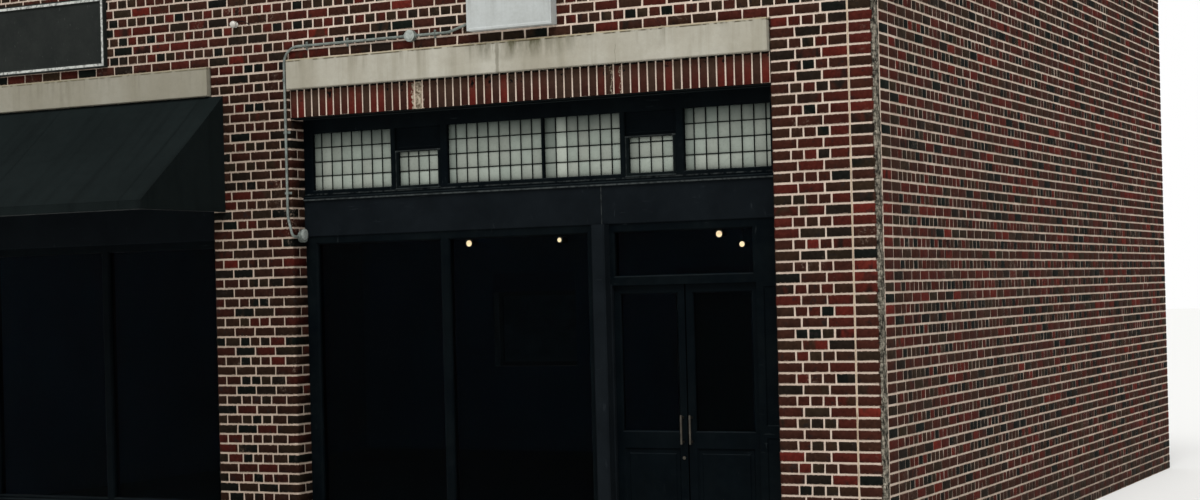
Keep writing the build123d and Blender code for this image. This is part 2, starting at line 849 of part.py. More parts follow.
with BuildPart() as back_window_frames:
    for centre in back_windows:
        x0 = centre - back_pane_half
        x1 = centre + back_pane_half
        block(centre - back_window_half, centre + back_window_half, back_frame_front, back_frame_back,
              back_window_base, back_window_top)
        block(x0, x1, back_frame_front, back_frame_back, back_pane_base, back_pane_top, Mode.SUBTRACT)
        splayed(x0 - back_splay, x1 + back_splay, back_pane_base - back_splay, back_pane_top + back_splay,
                back_frame_back, -1, back_splay)
pieces["back_window_frames"] = back_window_frames

with BuildPart() as back_window_glass:
    for centre in back_windows:
        block(centre - back_pane_half, centre + back_pane_half, back_glass_plane - glass_thickness / 2,
              back_glass_plane + glass_thickness / 2, back_pane_base, back_pane_top)
pieces["back_window_glass"] = back_window_glass

# Awning over the left bay: a cover with closed ends on a frame of bars and arms

awning_top = lintel_base - awning_top_drop
awning_front = awning_top - awning_drop
awning_base = awning_front - valance_depth
awning_start = along(-1, bay_width + awning_lap)
awning_end = along(-1, -awning_lap)
awning_width = awning_end - awning_start
slope = awning_drop / awning_reach
slant = (1 + slope * slope) ** 0.5


def awning_section(inset, beyond):
    """Draws the awning's side view, set in from its cloth and run on past its open sides."""
    nose = front - awning_reach + inset
    top_drop = inset * slant
    wall_line = front + beyond
    with BuildLine() as outline:
        Polyline((wall_line, awning_top - top_drop + slope * beyond), (nose, awning_front + slope * inset - top_drop),
                 (nose, awning_base - beyond), (wall_line, awning_base - beyond), close=True)
    make_face(outline.line)


with BuildPart() as awning_cover:
    with BuildSketch(Plane.YZ.offset(awning_start)) as outer:
        awning_section(0, 0)
    extrude(outer.sketch, amount=awning_width)
    with BuildSketch(Plane.YZ.offset(awning_start + cover_thickness)) as hollow:
        awning_section(cover_thickness, cover_thickness)
    extrude(hollow.sketch, amount=awning_width - 2 * cover_thickness, mode=Mode.SUBTRACT)
pieces["awning_cover"] = awning_cover

bar_inset = cover_thickness + cover_clearance
bar_start = awning_start + bar_inset
bar_end = awning_end - bar_inset
bar_nose = front - awning_reach + bar_inset
bar_back = bar_nose + awning_tube
front_bar_top = awning_front + slope * bar_inset - bar_inset * slant
wall_bar_top = awning_top - slope * awning_tube - bar_inset * slant
front_bar_base = front_bar_top - awning_tube
lower_bar_top = awning_base + awning_tube
with BuildPart() as awning_bars:
    block(bar_start, bar_end, front - awning_tube, front, wall_bar_top - awning_tube, wall_bar_top)
    block(bar_start, bar_end, bar_nose, bar_back, front_bar_base, front_bar_top)
    block(bar_start, bar_end, bar_nose, bar_back, awning_base, lower_bar_top)
pieces["awning_bars"] = awning_bars

rafter_pitch = (bar_end - bar_start - awning_tube) / (rafter_count - 1)
with BuildPart() as awning_arms:
    for number in range(rafter_count):
        start = bar_start + number * rafter_pitch
        with BuildSketch(Plane.YZ.offset(start)) as rafter:
            with BuildLine():
                Polyline((bar_back, front_bar_base), (bar_back, front_bar_top),
                         (front - awning_tube, wall_bar_top), (front - awning_tube, wall_bar_top - awning_tube),
                         close=True)
            make_face()
        extrude(rafter.sketch, amount=awning_tube)
        block(start, start + awning_tube, bar_nose, bar_back, lower_bar_top, front_bar_base)
    for start in (bar_start, bar_end - awning_tube):
        block(start, start + awning_tube, bar_back, front, awning_base, lower_bar_top)
pieces["awning_arms"] = awning_arms

# Conduit: it leaves the box on the pier's side, rises on the pier's face and turns along the wall

conduit_level = lintel_top + conduit_above_lintel
conduit_axis = hub_width / 2 + hub_standoff
conduit_y = front - conduit_axis
conduit_x = pier_face + conduit_axis
riser_x = pier_face - bullnose
box_1_y = front + box_1_setback
box_1_level = fascia_base
box_2_x = along(1, box_2_from_pier)
hub_reach = box_diameter / 2 + hub_length
sign_start = along(1, sign_from_pier)


def round_box(plane, hub_directions):
    """Adds a round junction box on a plane, with a six-sided hub for each conduit that enters it."""
    with BuildSketch(plane) as base:
        Circle(box_diameter / 2)
    extrude(base.sketch, amount=box_depth)
    for direction in hub_directions:
        hub_plane = Plane(origin=plane.origin + plane.z_dir * conduit_axis, x_dir=plane.z_dir, z_dir=direction)
        with BuildSketch(hub_plane.offset(box_diameter / 4)) as hub:
            RegularPolygon(hub_width / 2, 6, major_radius=False, rotation=30)
        extrude(hub.sketch, amount=hub_reach - box_diameter / 4)


facade_box = Plane(origin=(box_2_x, front, conduit_level), x_dir=(1, 0, 0), z_dir=(0, -1, 0))
reveal_box = Plane(origin=(pier_face, box_1_y, box_1_level), x_dir=(0, 1, 0), z_dir=(1, 0, 0))

with BuildPart() as conduit_boxes:
    round_box(facade_box, ((-1, 0, 0), (1, 0, 0)))
    round_box(reveal_box, ((0, -1, 0), (0, 0, 1)))
pieces["conduit_boxes"] = conduit_boxes

with BuildPart() as conduit:
    with BuildLine() as route:
        FilletPolyline((conduit_x, box_1_y - hub_reach, box_1_level), (conduit_x, front - riser_lead, box_1_level),
                       (riser_x, conduit_y, box_1_level + riser_lift), (riser_x, conduit_y, conduit_level),
                       (box_2_x - hub_reach, conduit_y, conduit_level),
                       radius=(foot_radius, knee_radius, riser_bend))
    conduit_foot = Plane(origin=(conduit_x, box_1_y - hub_reach, box_1_level), z_dir=(0, -1, 0))
    with BuildSketch(conduit_foot) as section:
        Circle(conduit_diameter / 2)
    sweep(section.sketch, path=route.wires()[0])
pieces["conduit"] = conduit

# Short run from the box on the wall, level and then rising, cut off flush with the sign tray's side
sign_run_over = 2 * conduit_diameter
sign_run_rise = sign_run_lift * (1 + sign_run_over / sign_run_length)
with BuildPart() as sign_conduit:
    with BuildLine() as sign_route:
        FilletPolyline((box_2_x + hub_reach, conduit_y, conduit_level),
                       (sign_start - sign_run_length, conduit_y, conduit_level),
                       (sign_start + sign_run_over, conduit_y, conduit_level + sign_run_rise),
                       radius=sign_run_bend)
    with BuildSketch(Plane(origin=(box_2_x + hub_reach, conduit_y, conduit_level), z_dir=(1, 0, 0))) as section:
        Circle(conduit_diameter / 2)
    sweep(section.sketch, path=sign_route.wires()[0])
    block(sign_start, sign_start + 2 * sign_run_over, conduit_y - conduit_diameter, conduit_y + conduit_diameter,
          conduit_level, conduit_level + 2 * sign_run_rise, Mode.SUBTRACT)
pieces["sign_conduit"] = sign_conduit

# Plain sign tray and sign board, each with a border round a recessed face

sign_base = lintel_top + sign_above_lintel
board_base = lintel_top + board_above_lintel
board_centre = along(-1, bay_width / 2)


def bordered_plate(x0, x1, depth, z0, z1, border, recess):
    """Adds a plate on the wall with a border round its recessed face."""
    block(x0, x1, front - depth, front, z0, z1)
    splayed(x0 + border, x1 - border, z0 + border, z1 - border, front - depth, 1, recess)


with BuildPart() as sign_tray:
    bordered_plate(sign_start, sign_start + sign_width, sign_depth, sign_base, sign_base + sign_height,
                   sign_lip, sign_recess)
pieces["sign_tray"] = sign_tray

with BuildPart() as sign_board:
    bordered_plate(board_centre - board_width / 2, board_centre + board_width / 2, board_depth, board_base,
                   board_base + board_height, board_border, board_recess)
pieces["sign_board"] = sign_board

# Lamp rail behind the window head, with its spot lamps

lamp_back = frame_back + lamp_clearance + lamp_length
with BuildPart() as lamp_rail:
    bay_block(1, display_jamb, door_end, frame_back, frame_back + lamp_rail_size,
              fascia_base - lamp_rail_size, fascia_base)
pieces["lamp_rail"] = lamp_rail

rail_y = frame_back + lamp_rail_size / 2
rail_base = fascia_base - lamp_rail_size
lamps = [(distance, lamp_drop) for distance in window_lamps]
lamps += [(door_start + entrance_lamp, lamp_drop), (door_start + low_entrance_lamp, low_lamp_drop)]
with BuildPart() as spot_lamps:
    for distance, drop in lamps:
        lamp_x = along(1, distance)
        lamp_z = rail_base - drop
        block(lamp_x - lamp_stem / 2, lamp_x + lamp_stem / 2, rail_y - lamp_stem / 2, rail_y + lamp_stem / 2,
              lamp_z, rail_base)
        with BuildSketch(Plane(origin=(lamp_x, lamp_back, lamp_z), z_dir=(0, -1, 0))) as neck:
            Circle(lamp_neck_radius)
        with BuildSketch(Plane(origin=(lamp_x, frame_back + lamp_clearance, lamp_z), z_dir=(0, -1, 0))) as mouth:
            Circle(lamp_radius)
        loft([neck.sketch, mouth.sketch])
pieces["spot_lamps"] = spot_lamps

os.makedirs("parts", exist_ok=True)
for name, piece in pieces.items():
    piece.part.label = name
    export_step(piece.part, f"parts/{name}.step")
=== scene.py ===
import math

import bpy
import numpy as np
from bpy.props import FloatProperty, FloatVectorProperty, IntProperty, PointerProperty
from mathutils import Matrix, Vector


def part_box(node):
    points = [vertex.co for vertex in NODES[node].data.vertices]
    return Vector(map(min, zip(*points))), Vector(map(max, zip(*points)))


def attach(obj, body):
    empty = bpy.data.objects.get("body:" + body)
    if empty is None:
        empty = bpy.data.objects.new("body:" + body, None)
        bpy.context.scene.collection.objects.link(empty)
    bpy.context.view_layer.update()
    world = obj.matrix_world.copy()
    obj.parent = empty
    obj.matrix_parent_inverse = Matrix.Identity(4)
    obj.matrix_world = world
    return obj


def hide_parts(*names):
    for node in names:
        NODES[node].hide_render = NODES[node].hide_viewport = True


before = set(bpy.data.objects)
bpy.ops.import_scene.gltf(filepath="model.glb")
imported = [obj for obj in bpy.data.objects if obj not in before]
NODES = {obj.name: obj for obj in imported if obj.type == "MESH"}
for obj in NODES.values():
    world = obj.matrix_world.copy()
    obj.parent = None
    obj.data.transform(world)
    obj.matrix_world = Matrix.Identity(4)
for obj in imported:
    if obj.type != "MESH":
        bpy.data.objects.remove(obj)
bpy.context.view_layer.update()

bl_info = {
    "name": "Shop Building Dressing",
    "version": (1, 0, 0),
    "blender": (4, 5, 0),
    "location": "3D View > Sidebar > Shop",
    "description": "Lays the bricks, glazes the windows, hangs the awning and paints a shop building",
    "category": "Object",
}


def colour(red, green, blue):
    """Turns display values from 0 to 255 into the linear colour that shaders take."""
    values = [v / 255 for v in (red, green, blue)]
    return tuple(v / 12.92 if v <= 0.04045 else ((v + 0.055) / 1.055) ** 2.4 for v in values) + (1.0,)


def extent(node):
    """Lowest and highest corner of a CAD node as two arrays."""
    low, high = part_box(node)
    return np.array(low), np.array(high)


def points_of(node):
    """Corners of a CAD node's mesh as an array."""
    return np.array([v.co for v in NODES[node].data.vertices])


# Sizes and colours that a user would change


def length_setting(name, description, default, low, high):
    return FloatProperty(name=name, description=description, default=default, min=low, max=high, unit="LENGTH")


def angle_setting(name, description, default):
    return FloatProperty(name=name, description=description, default=default, subtype="ANGLE")


def colour_setting(name, description, default):
    return FloatVectorProperty(name=name, description=description, subtype="COLOR", size=4, min=0, max=1,
                               default=colour(*default))


class BrickworkSettings(bpy.types.PropertyGroup):
    """Sizes of the bricks and their joints."""
    stretcher: length_setting("Stretcher", "Pitch of a stretcher with its joint", 0.2032, 0.1, 0.4)
    course: length_setting("Course", "Height of a course with its joint", 0.08128, 0.05, 0.15)
    joint: length_setting("Joint", "Width of a mortar joint", 0.0135, 0.004, 0.03)
    rake: length_setting("Rake", "How far the mortar lies behind the brick face", 0.004, 0.0, 0.02)
    bullnose: length_setting("Bullnose", "Radius of the rounded bricks at the openings", 0.028, 0.005, 0.04)
    arris: length_setting("Arris", "Width of the worn edge of a brick", 0.0028, 0.0005, 0.01)
    soldiers: IntProperty(name="Soldiers", description="Upright bricks over each bay", default=60, min=10, max=200)
    soldier_joint: length_setting("Soldier joint", "Width of the joint between upright bricks", 0.011, 0.004, 0.03)
    mortar: colour_setting("Mortar", "Colour of the mortar", (214, 197, 181))


class GlazingSettings(bpy.types.PropertyGroup):
    """Sizes of the glazing bars in the transom lights."""
    bar_width: length_setting("Bar width", "Face width of a glazing bar", 0.0085, 0.004, 0.04)
    bar_depth: length_setting("Bar depth", "Depth of a glazing bar", 0.02, 0.006, 0.05)
    pane_thickness: length_setting("Pane thickness", "Thickness of a small pane", 0.006, 0.002, 0.012)
    pane: colour_setting("Pane", "Colour of the obscured panes", (152, 161, 151))


class AwningSettings(bpy.types.PropertyGroup):
    """Cloth of the awning."""
    sag: length_setting("Sag", "How far the cloth sinks between two rafters", 0.012, 0.0, 0.05)
    head: length_setting("Head", "How far the cloth is drawn up the wall", 0.036, 0.0, 0.038)
    valance: length_setting("Valance", "Height of the upright edge along the front", 0.08, 0.0, 0.3)
    cloth: colour_setting("Cloth", "Colour of the canvas", (17, 22, 22))


class StageSettings(bpy.types.PropertyGroup):
    """Camera and light."""
    lens: FloatProperty(name="Lens", description="Focal length of the camera", default=61.41, min=10, max=300,
                        unit="CAMERA")
    camera_place: FloatVectorProperty(name="Camera place", description="Where the camera stands", size=3,
                                      subtype="TRANSLATION", default=(10.325, -18.781, 2.181))
    camera_turn: angle_setting("Camera turn", "How far the camera looks to the left", 0.4712)
    camera_lean: angle_setting("Camera lean", "Lean of the camera to the right", 0.02534)
    lift: FloatProperty(name="Lift", description="Upward shift of the lens", default=0.0338)
    sky: FloatProperty(name="Sky", description="Strength of the light from all round", default=0.5, min=0, max=5)
    sun: FloatProperty(name="Sun", description="Strength of the soft light from above", default=2.8, min=0, max=20)
    softness: angle_setting("Softness", "Width of the soft light", math.radians(35))
    direction: FloatVectorProperty(name="Direction", description="Where the soft light goes", size=3,
                                   subtype="DIRECTION", default=(-0.22, 0.5, -0.84))
    floor: colour_setting("Floor", "Colour of the floor", (226, 226, 224))


# Helpers for modelling with Blender's own tools


def mode(name):
    bpy.ops.object.mode_set(mode=name)


def only(*objects):
    """Leaves edit mode and selects these objects alone, the first one active."""
    if bpy.context.object and bpy.context.object.mode != "OBJECT":
        mode("OBJECT")
    bpy.ops.object.select_all(action="DESELECT")
    for obj in objects:
        obj.select_set(True)
    if objects:
        bpy.context.view_layer.objects.active = objects[0]


def settle(obj):
    """Puts an object's place, turn and size into its mesh."""
    only(obj)
    bpy.ops.object.transform_apply(location=True, rotation=True, scale=True)
    return obj


def linked(name, data):
    """Makes an object of a mesh, curve, camera or light and links it to the scene."""
    obj = bpy.data.objects.new(name, data)
    bpy.context.scene.collection.objects.link(obj)
    return obj


def new_cube(low, high):
    """Adds a block between two corners with Blender's cube."""
    only()
    low, high = Vector(low), Vector(high)
    bpy.ops.mesh.primitive_cube_add(size=1, location=(low + high) / 2)
    bpy.context.object.scale = high - low
    return settle(bpy.context.object)


def pick(obj, kind, chosen):
    """Opens an object in edit mode with the edges or faces selected that pass a test."""
    only(obj)
    mode("EDIT")
    bpy.ops.mesh.select_mode(type=kind)
    bpy.ops.mesh.select_all(action="DESELECT")
    mode("OBJECT")
    for part in obj.data.edges if kind == "EDGE" else obj.data.polygons:
        part.select = chosen(part)
    mode("EDIT")


def bevel_edges(obj, offset, segments=1, chosen=None):
    """Bevels the edges whose two ends both pass a test, or all edges."""
    pick(obj, "EDGE", lambda edge: chosen is None or all(chosen(obj.data.vertices[v].co) for v in edge.vertices))
    bpy.ops.mesh.bevel(offset=offset, segments=segments, affect="EDGES")
    mode("OBJECT")


def drop_faces(obj, chosen):
    """Deletes the faces whose centre passes a test."""
    pick(obj, "FACE", lambda face: chosen(face.center))
    bpy.ops.mesh.delete(type="FACE")
    mode("OBJECT")


def merge(obj, threshold, outward=True):
    """Merges doubled points and, where asked, turns the faces outwards."""
    only(obj)
    mode("EDIT")
    bpy.ops.mesh.select_all(action="SELECT")
    bpy.ops.mesh.remove_doubles(threshold=threshold)
    if outward:
        bpy.ops.mesh.normals_make_consistent(inside=False)
    mode("OBJECT")


def thicken(obj, thickness, offset):
    """Gives a sheet its thickness."""
    only(obj)
    modifier = obj.modifiers.new("thickness", "SOLIDIFY")
    modifier.thickness, modifier.offset = thickness, offset
    bpy.ops.object.modifier_apply(modifier=modifier.name)


def rounded_disc(centre, out, radius, depth, rounding, segments=1, vertices=24):
    """Adds a disc that faces along X or Y, with its outer rim rounded."""
    only()
    turn = (0, math.pi / 2, 0) if out.x else (math.pi / 2, 0, 0)
    bpy.ops.mesh.primitive_cylinder_add(vertices=vertices, radius=radius, depth=depth, location=centre, rotation=turn)
    disc = settle(bpy.context.object)
    rim = out.dot(Vector(centre)) + depth / 2 - 0.0001
    bevel_edges(disc, rounding, segments, lambda point: out.dot(point) > rim)
    return disc


def joined(name, parts):
    """Joins several objects into one with its place in its mesh."""
    only(*parts)
    if len(parts) > 1:
        bpy.ops.object.join()
    obj = bpy.context.object
    obj.name = obj.data.name = name
    return settle(obj)


def smooth(obj, degrees=35):
    """Shades an object smooth except over its sharp edges."""
    only(obj)
    bpy.ops.object.shade_smooth_by_angle(angle=math.radians(degrees))


def finish_piece(obj, material=None, replaces=(), body="building"):
    """Gives a piece its material and body, and hides the CAD parts it replaces."""
    if material:
        obj.data.materials.clear()
        obj.data.materials.append(material)
    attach(obj, body)
    if replaces:
        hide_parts(*replaces)


# Repeated blocks: one modelled block, stretched between its worn corners and copied


class Template:
    """A modelled block kept as corner signs and offsets, so that its worn edges don't stretch."""

    def __init__(self, obj, half):
        mesh = obj.data
        points = np.array([v.co for v in mesh.vertices])
        self.signs = np.sign(points)
        self.offsets = points - self.signs * np.array(half)
        self.faces = [tuple(face.vertices) for face in mesh.polygons]
        bpy.data.objects.remove(obj)
        bpy.data.meshes.remove(mesh)

    def mirrored(self):
        """The same block turned into its mirror image across X."""
        other = Template.__new__(Template)
        flip = np.array((-1, 1, 1))
        other.signs, other.offsets = self.signs * flip, self.offsets * flip
        other.faces = [tuple(reversed(face)) for face in self.faces]
        return other


def plain_block(arris, open_back=False):
    """Models a brick with worn edges, whole or with only the edges of its face worn and without its hidden back."""
    half = (0.05, 0.03, 0.03)
    obj = new_cube([-h for h in half], half)
    if open_back:
        bevel_edges(obj, arris, chosen=lambda point: point.y < 0)
        drop_faces(obj, lambda centre: centre.y > half[1] - 0.0001)
    else:
        bevel_edges(obj, arris)
    return Template(obj, half)


def rounded_block(arris, radius):
    """Models a brick whose upright edge at the left of its face is rounded."""
    half = (0.06, 0.06, 0.034)
    obj = new_cube([-h for h in half], half)
    bevel_edges(obj, radius, 4, lambda point: point.x < 0 and point.y < 0)

    def at_rim(edge):
        a, b = (obj.data.vertices[v].co.z for v in edge.vertices)
        return a * b > 0 and min(abs(a), abs(b)) > half[2] - 0.00001

    pick(obj, "EDGE", at_rim)
    bpy.ops.mesh.bevel(offset=arris, segments=1, affect="EDGES")
    mode("OBJECT")
    return Template(obj, half)


TURNS = {"front": 0, "right": 1, "back": 2, "left": 3}


class Pile:
    """Collects blocks by template and facing, and turns them into one mesh."""

    def __init__(self, seed):
        self.random = np.random.default_rng(seed)
        self.blocks = {}

    def add(self, template, facing, low, high, tone=(0, 0, 0)):
        """Adds a block between two corners, facing one way."""
        self.blocks.setdefault((template, facing), []).append((*low, *high, *tone))

    def arrays(self, wobble):
        """Works out the points, faces and tones of all the blocks, each corner shaken a little."""
        points, faces, tones, start = [], [], [], 0
        for (template, facing), rows in self.blocks.items():
            data = np.array(rows)
            low, high, tone = data[:, :3], data[:, 3:6], data[:, 6:9]
            centre, half = (low + high) / 2, (high - low) / 2
            quarter = TURNS[facing]
            if quarter % 2:
                half = half[:, (1, 0, 2)]
            count, corners = len(data), len(template.signs)
            local = template.signs[None] * half[:, None] + template.offsets[None]
            which = ((template.signs > 0) @ np.array((1, 2, 4))).astype(int)
            shake = self.random.uniform(-wobble, wobble, (count, 8, 3))
            shake += self.random.uniform(-wobble, wobble, (count, 1, 3)) * np.array((0, 1, 0))
            cosine, sine = round(math.cos(quarter * math.pi / 2)), round(math.sin(quarter * math.pi / 2))
            turn = np.array(((cosine, -sine, 0), (sine, cosine, 0), (0, 0, 1)))
            points.append(((local + shake[:, which]) @ turn.T + centre[:, None]).reshape(-1, 3))
            tones.append(np.repeat(tone, corners, axis=0))
            offsets = start + np.arange(count) * corners
            faces += [offsets[:, None] + np.array(face)[None] for face in template.faces]
            start += count * corners
        return np.concatenate(points), faces, np.concatenate(tones)

    def mesh(self, name, wobble, attribute, box=None):
        """Makes one object of all the blocks, with their tones as an attribute of its points, held inside a box."""
        points, faces, tones = self.arrays(wobble)
        if box is not None:
            points = np.clip(points, *box)
        sizes = np.concatenate([np.full(len(f), f.shape[1]) for f in faces])
        loops = np.concatenate([f.ravel() for f in faces])
        mesh = bpy.data.meshes.new(name)
        mesh.vertices.add(len(points))
        mesh.vertices.foreach_set("co", points.astype(np.float32).ravel())
        mesh.loops.add(len(loops))
        mesh.loops.foreach_set("vertex_index", loops.astype(np.int32))
        mesh.polygons.add(len(sizes))
        mesh.polygons.foreach_set("loop_start", np.concatenate(((0,), np.cumsum(sizes)[:-1])).astype(np.int32))
        mesh.polygons.foreach_set("loop_total", sizes.astype(np.int32))
        mesh.update(calc_edges=True)
        layer = mesh.attributes.new(attribute, "FLOAT_VECTOR", "POINT")
        layer.data.foreach_set("vector", tones.astype(np.float32).ravel())
        return linked(name, mesh)


# Shader building blocks


class Wiring:
    """Places and joins nodes in a material, a world or a group."""

    def __init__(self, tree):
        self.tree = tree

    def feed(self, socket, value):
        """Joins an output to a socket, or sets the socket to a value."""
        if isinstance(value, bpy.types.NodeSocket):
            self.tree.links.new(value, socket)
        else:
            socket.default_value = value

    def node(self, kind, inputs=None, **settings):
        """Adds a node with its settings and what feeds its inputs, by name or number."""
        node = self.tree.nodes.new(kind)
        for name, value in settings.items():
            setattr(node, name, value)
        for name, value in (inputs or {}).items():
            self.feed(node.inputs[name], value)
        return node

    def math(self, operation, *values):
        return self.node("ShaderNodeMath", dict(enumerate(values)), operation=operation).outputs[0]

    def plus(self, first, second):
        return self.math("ADD", first, second)

    def times(self, first, *others):
        for other in others:
            first = self.math("MULTIPLY", first, other)
        return first

    def away(self, value, place):
        """How far a value is from a place."""
        return self.math("ABSOLUTE", self.math("SUBTRACT", value, place))

    def noise(self, place, scale, detail=3.0, roughness=0.55, distortion=0.0):
        return self.node("ShaderNodeTexNoise", {"Vector": place, "Scale": scale, "Detail": detail,
                                                "Roughness": roughness, "Distortion": distortion}).outputs["Fac"]

    def span(self, value, low, high, out_low=0.0, out_high=1.0):
        """Maps a range of values to another, held at its ends."""
        return self.node("ShaderNodeMapRange", {"Value": value, "From Min": low, "From Max": high,
                                                "To Min": out_low, "To Max": out_high}).outputs["Result"]

    def mix(self, share, first, second, blend="MIX"):
        return self.node("ShaderNodeMix", {0: share, 6: first, 7: second}, data_type="RGBA",
                         blend_type=blend).outputs[2]

    def ramp(self, value, stops):
        """A colour ramp, its stops given as place and display values."""
        node = self.node("ShaderNodeValToRGB", {"Fac": value})
        elements = node.color_ramp.elements
        while len(elements) < len(stops):
            elements.new(0.5)
        for element, (place, shade) in zip(elements, stops):
            element.position, element.color = place, colour(*shade)
        return node.outputs["Color"]

    def parts(self, vector):
        return self.node("ShaderNodeSeparateXYZ", {0: vector}).outputs[:3]

    def vector(self, x, y, z):
        return self.node("ShaderNodeCombineXYZ", {0: x, 1: y, 2: z}).outputs[0]

    def scaled(self, place, z, x=1.0):
        """Stretches the pattern space: a scale under 1 draws the pattern out that way."""
        return self.node("ShaderNodeMapping", {"Vector": place, "Scale": (x, 1.0, z)}).outputs["Vector"]


def grime(w, inp):
    """Soft uneven dirt: a large cloud broken up by a fine one."""
    large = w.noise(inp["Place"], inp["Scale"], 4.0, 0.6)
    fine = w.noise(inp["Place"], w.times(inp["Scale"], 9.0), 3.0, 0.6)
    blend = w.plus(w.times(large, 0.7), w.times(fine, 0.3))
    return {"Mask": w.times(w.span(blend, 0.42, 0.66), inp["Amount"])}


def rain_streaks(w, inp):
    """Rain streaks that start at a level and fade downwards."""
    thin = w.noise(w.scaled(inp["Place"], 0.05), 26.0, 3.0, 0.6)
    wide = w.noise(w.scaled(inp["Place"], 0.12), 5.0, 3.0, 0.6)
    foot = w.math("SUBTRACT", inp["Top"], inp["Length"])
    drop = w.span(w.parts(inp["Place"])[2], foot, inp["Top"])
    return {"Mask": w.times(w.span(thin, 0.46, 0.68), w.span(wide, 0.4, 0.62), drop, inp["Amount"])}


def grain(w, inp):
    """Fine sandy grain as a height and as a light variation."""
    fine = w.noise(inp["Place"], inp["Scale"], 4.0, 0.65)
    coarse = w.noise(inp["Place"], w.times(inp["Scale"], 0.23), 3.0, 0.55)
    height = w.plus(w.times(fine, 0.55), w.times(coarse, 0.45))
    return {"Height": height, "Tint": w.span(height, 0.3, 0.7, 0.82, 1.18)}


def scuffs(w, inp):
    """Thin pale scuffs along X, where paint has worn to an older coat."""
    along = w.noise(w.scaled(inp["Place"], 1.0, x=0.1), 70.0, 3.0, 0.6)
    where = w.noise(inp["Place"], 2.6, 2.0)
    return {"Mask": w.times(w.span(along, 0.66, 0.7), w.span(where, 0.5, 0.6), inp["Amount"])}


EFFECTS = {grime: (("Scale", "Amount"), ("Mask",)), rain_streaks: (("Top", "Length", "Amount"), ("Mask",)),
           grain: (("Scale",), ("Height", "Tint")), scuffs: (("Amount",), ("Mask",))}


def effect_group(effect):
    """The node group of a shared effect, made when it is first used."""
    name = effect.__name__.replace("_", " ").title()
    if name in bpy.data.node_groups:
        return bpy.data.node_groups[name]
    tree = bpy.data.node_groups.new(name, "ShaderNodeTree")
    inputs, outputs = EFFECTS[effect]
    tree.interface.new_socket(name="Place", in_out="INPUT", socket_type="NodeSocketVector")
    for socket in inputs:
        tree.interface.new_socket(name=socket, in_out="INPUT", socket_type="NodeSocketFloat")
    for socket in outputs:
        tree.interface.new_socket(name=socket, in_out="OUTPUT", socket_type="NodeSocketFloat")
    wiring = Wiring(tree)
    inside, outside = wiring.node("NodeGroupInput"), wiring.node("NodeGroupOutput")
    for socket, value in effect(wiring, inside.outputs).items():
        wiring.feed(outside.inputs[socket], value)
    return tree


class Finish(Wiring):
    """A material whose coats are laid one over the other, with the object's coordinates at hand."""

    def __init__(self, name, base=None, **constants):
        self.material = bpy.data.materials.new(name)
        self.material.use_nodes = True
        super().__init__(self.material.node_tree)
        self.shader = self.tree.nodes["Principled BSDF"]
        self.place = self.node("ShaderNodeTexCoord").outputs["Object"]
        self.x, self.y, self.z = self.parts(self.place)
        self.base = base
        for socket, value in constants.items():
            self.shader.inputs[socket.replace("_", " ")].default_value = value

    def use(self, effect, **inputs):
        """Adds a shared effect on the object's coordinates."""
        return self.node("ShaderNodeGroup", {"Place": self.place, **inputs}, node_tree=effect_group(effect)).outputs

    def grime(self, scale, amount):
        return self.use(grime, Scale=scale, Amount=amount)["Mask"]

    def streaks(self, top, length, amount):
        return self.use(rain_streaks, Top=top, Length=length, Amount=amount)["Mask"]

    def grain(self, scale):
        return self.use(grain, Scale=scale)

    def cloud(self, noise, *span, place=None):
        """A noise, given as scale, detail, roughness and distortion, mapped to a span."""
        return self.span(self.noise(self.place if place is None else place, *noise), *span)

    def attribute(self, name):
        """The three values that each block of a pile carries."""
        return self.parts(self.node("ShaderNodeAttribute", attribute_name=name).outputs["Vector"])

    def own_place(self, seed, x, z):
        """The coordinates moved by a brick's seed, so that no two bricks look alike."""
        away = self.vector(self.times(seed, x), seed, self.times(seed, z))
        return self.node("ShaderNodeVectorMath", {0: self.place, 1: away}, operation="ADD").outputs[0]

    def normal(self):
        return self.parts(self.node("ShaderNodeNewGeometry").outputs["True Normal"])

    def coat(self, share, *tone):
        """Lays a colour over the base, given as three display values or as one shader colour."""
        self.base = self.mix(share, self.base, colour(*tone) if len(tone) == 3 else tone[0])

    def shade(self, value):
        """Multiplies the base colour by a value."""
        grey = self.node("ShaderNodeCombineColor", {0: value, 1: value, 2: value}).outputs[0]
        self.base = self.mix(1.0, self.base, grey, "MULTIPLY")

    def done(self, bump=None, **sockets):
        """Joins the base colour, the bump (height, strength, distance) and other sockets to the shader."""
        if bump:
            relief = self.node("ShaderNodeBump", dict(zip(("Height", "Strength", "Distance"), bump)))
            sockets["Normal"] = relief.outputs["Normal"]
        for name, value in {"Base_Color": self.base, **sockets}.items():
            self.feed(self.shader.inputs[name.replace("_", " ")], value)
        return self.material


# Finishes. Clay tones run from burnt black to bright red, and each kind of brick takes its stretch of them.

CLAY = ((0.0, (15, 20, 17)), (0.1, (22, 22, 19)), (0.2, (33, 26, 21)), (0.3, (39, 31, 23)), (0.4, (47, 36, 26)),
        (0.5, (50, 32, 24)), (0.62, (55, 30, 23)), (0.74, (63, 28, 22)), (0.86, (73, 29, 23)), (1.0, (90, 32, 25)))
SOLDIER_CLAY = ((0.0, (57, 42, 34)), (0.22, (53, 37, 30)), (0.38, (51, 30, 25)), (0.55, (62, 31, 25)),
                (0.78, (73, 29, 24)), (1.0, (88, 32, 26)))
ROUGH_MORTAR = ((0.4, (34, 33, 29)), (0.47, (84, 80, 71)), (0.56, (128, 122, 109)), (0.7, (178, 170, 154)))
KINDS = ((0.0, 0.1), (0.17, 0.23), (0.28, 0.42), (0.46, 0.54), (0.58, 0.68), (0.72, 0.88), (0.9, 1.0))
HEADERS = (0.15, 0.06, 0.1, 0.2, 0.26, 0.2, 0.03)
STRETCHERS = (0.06, 0.06, 0.07, 0.16, 0.27, 0.29, 0.09)
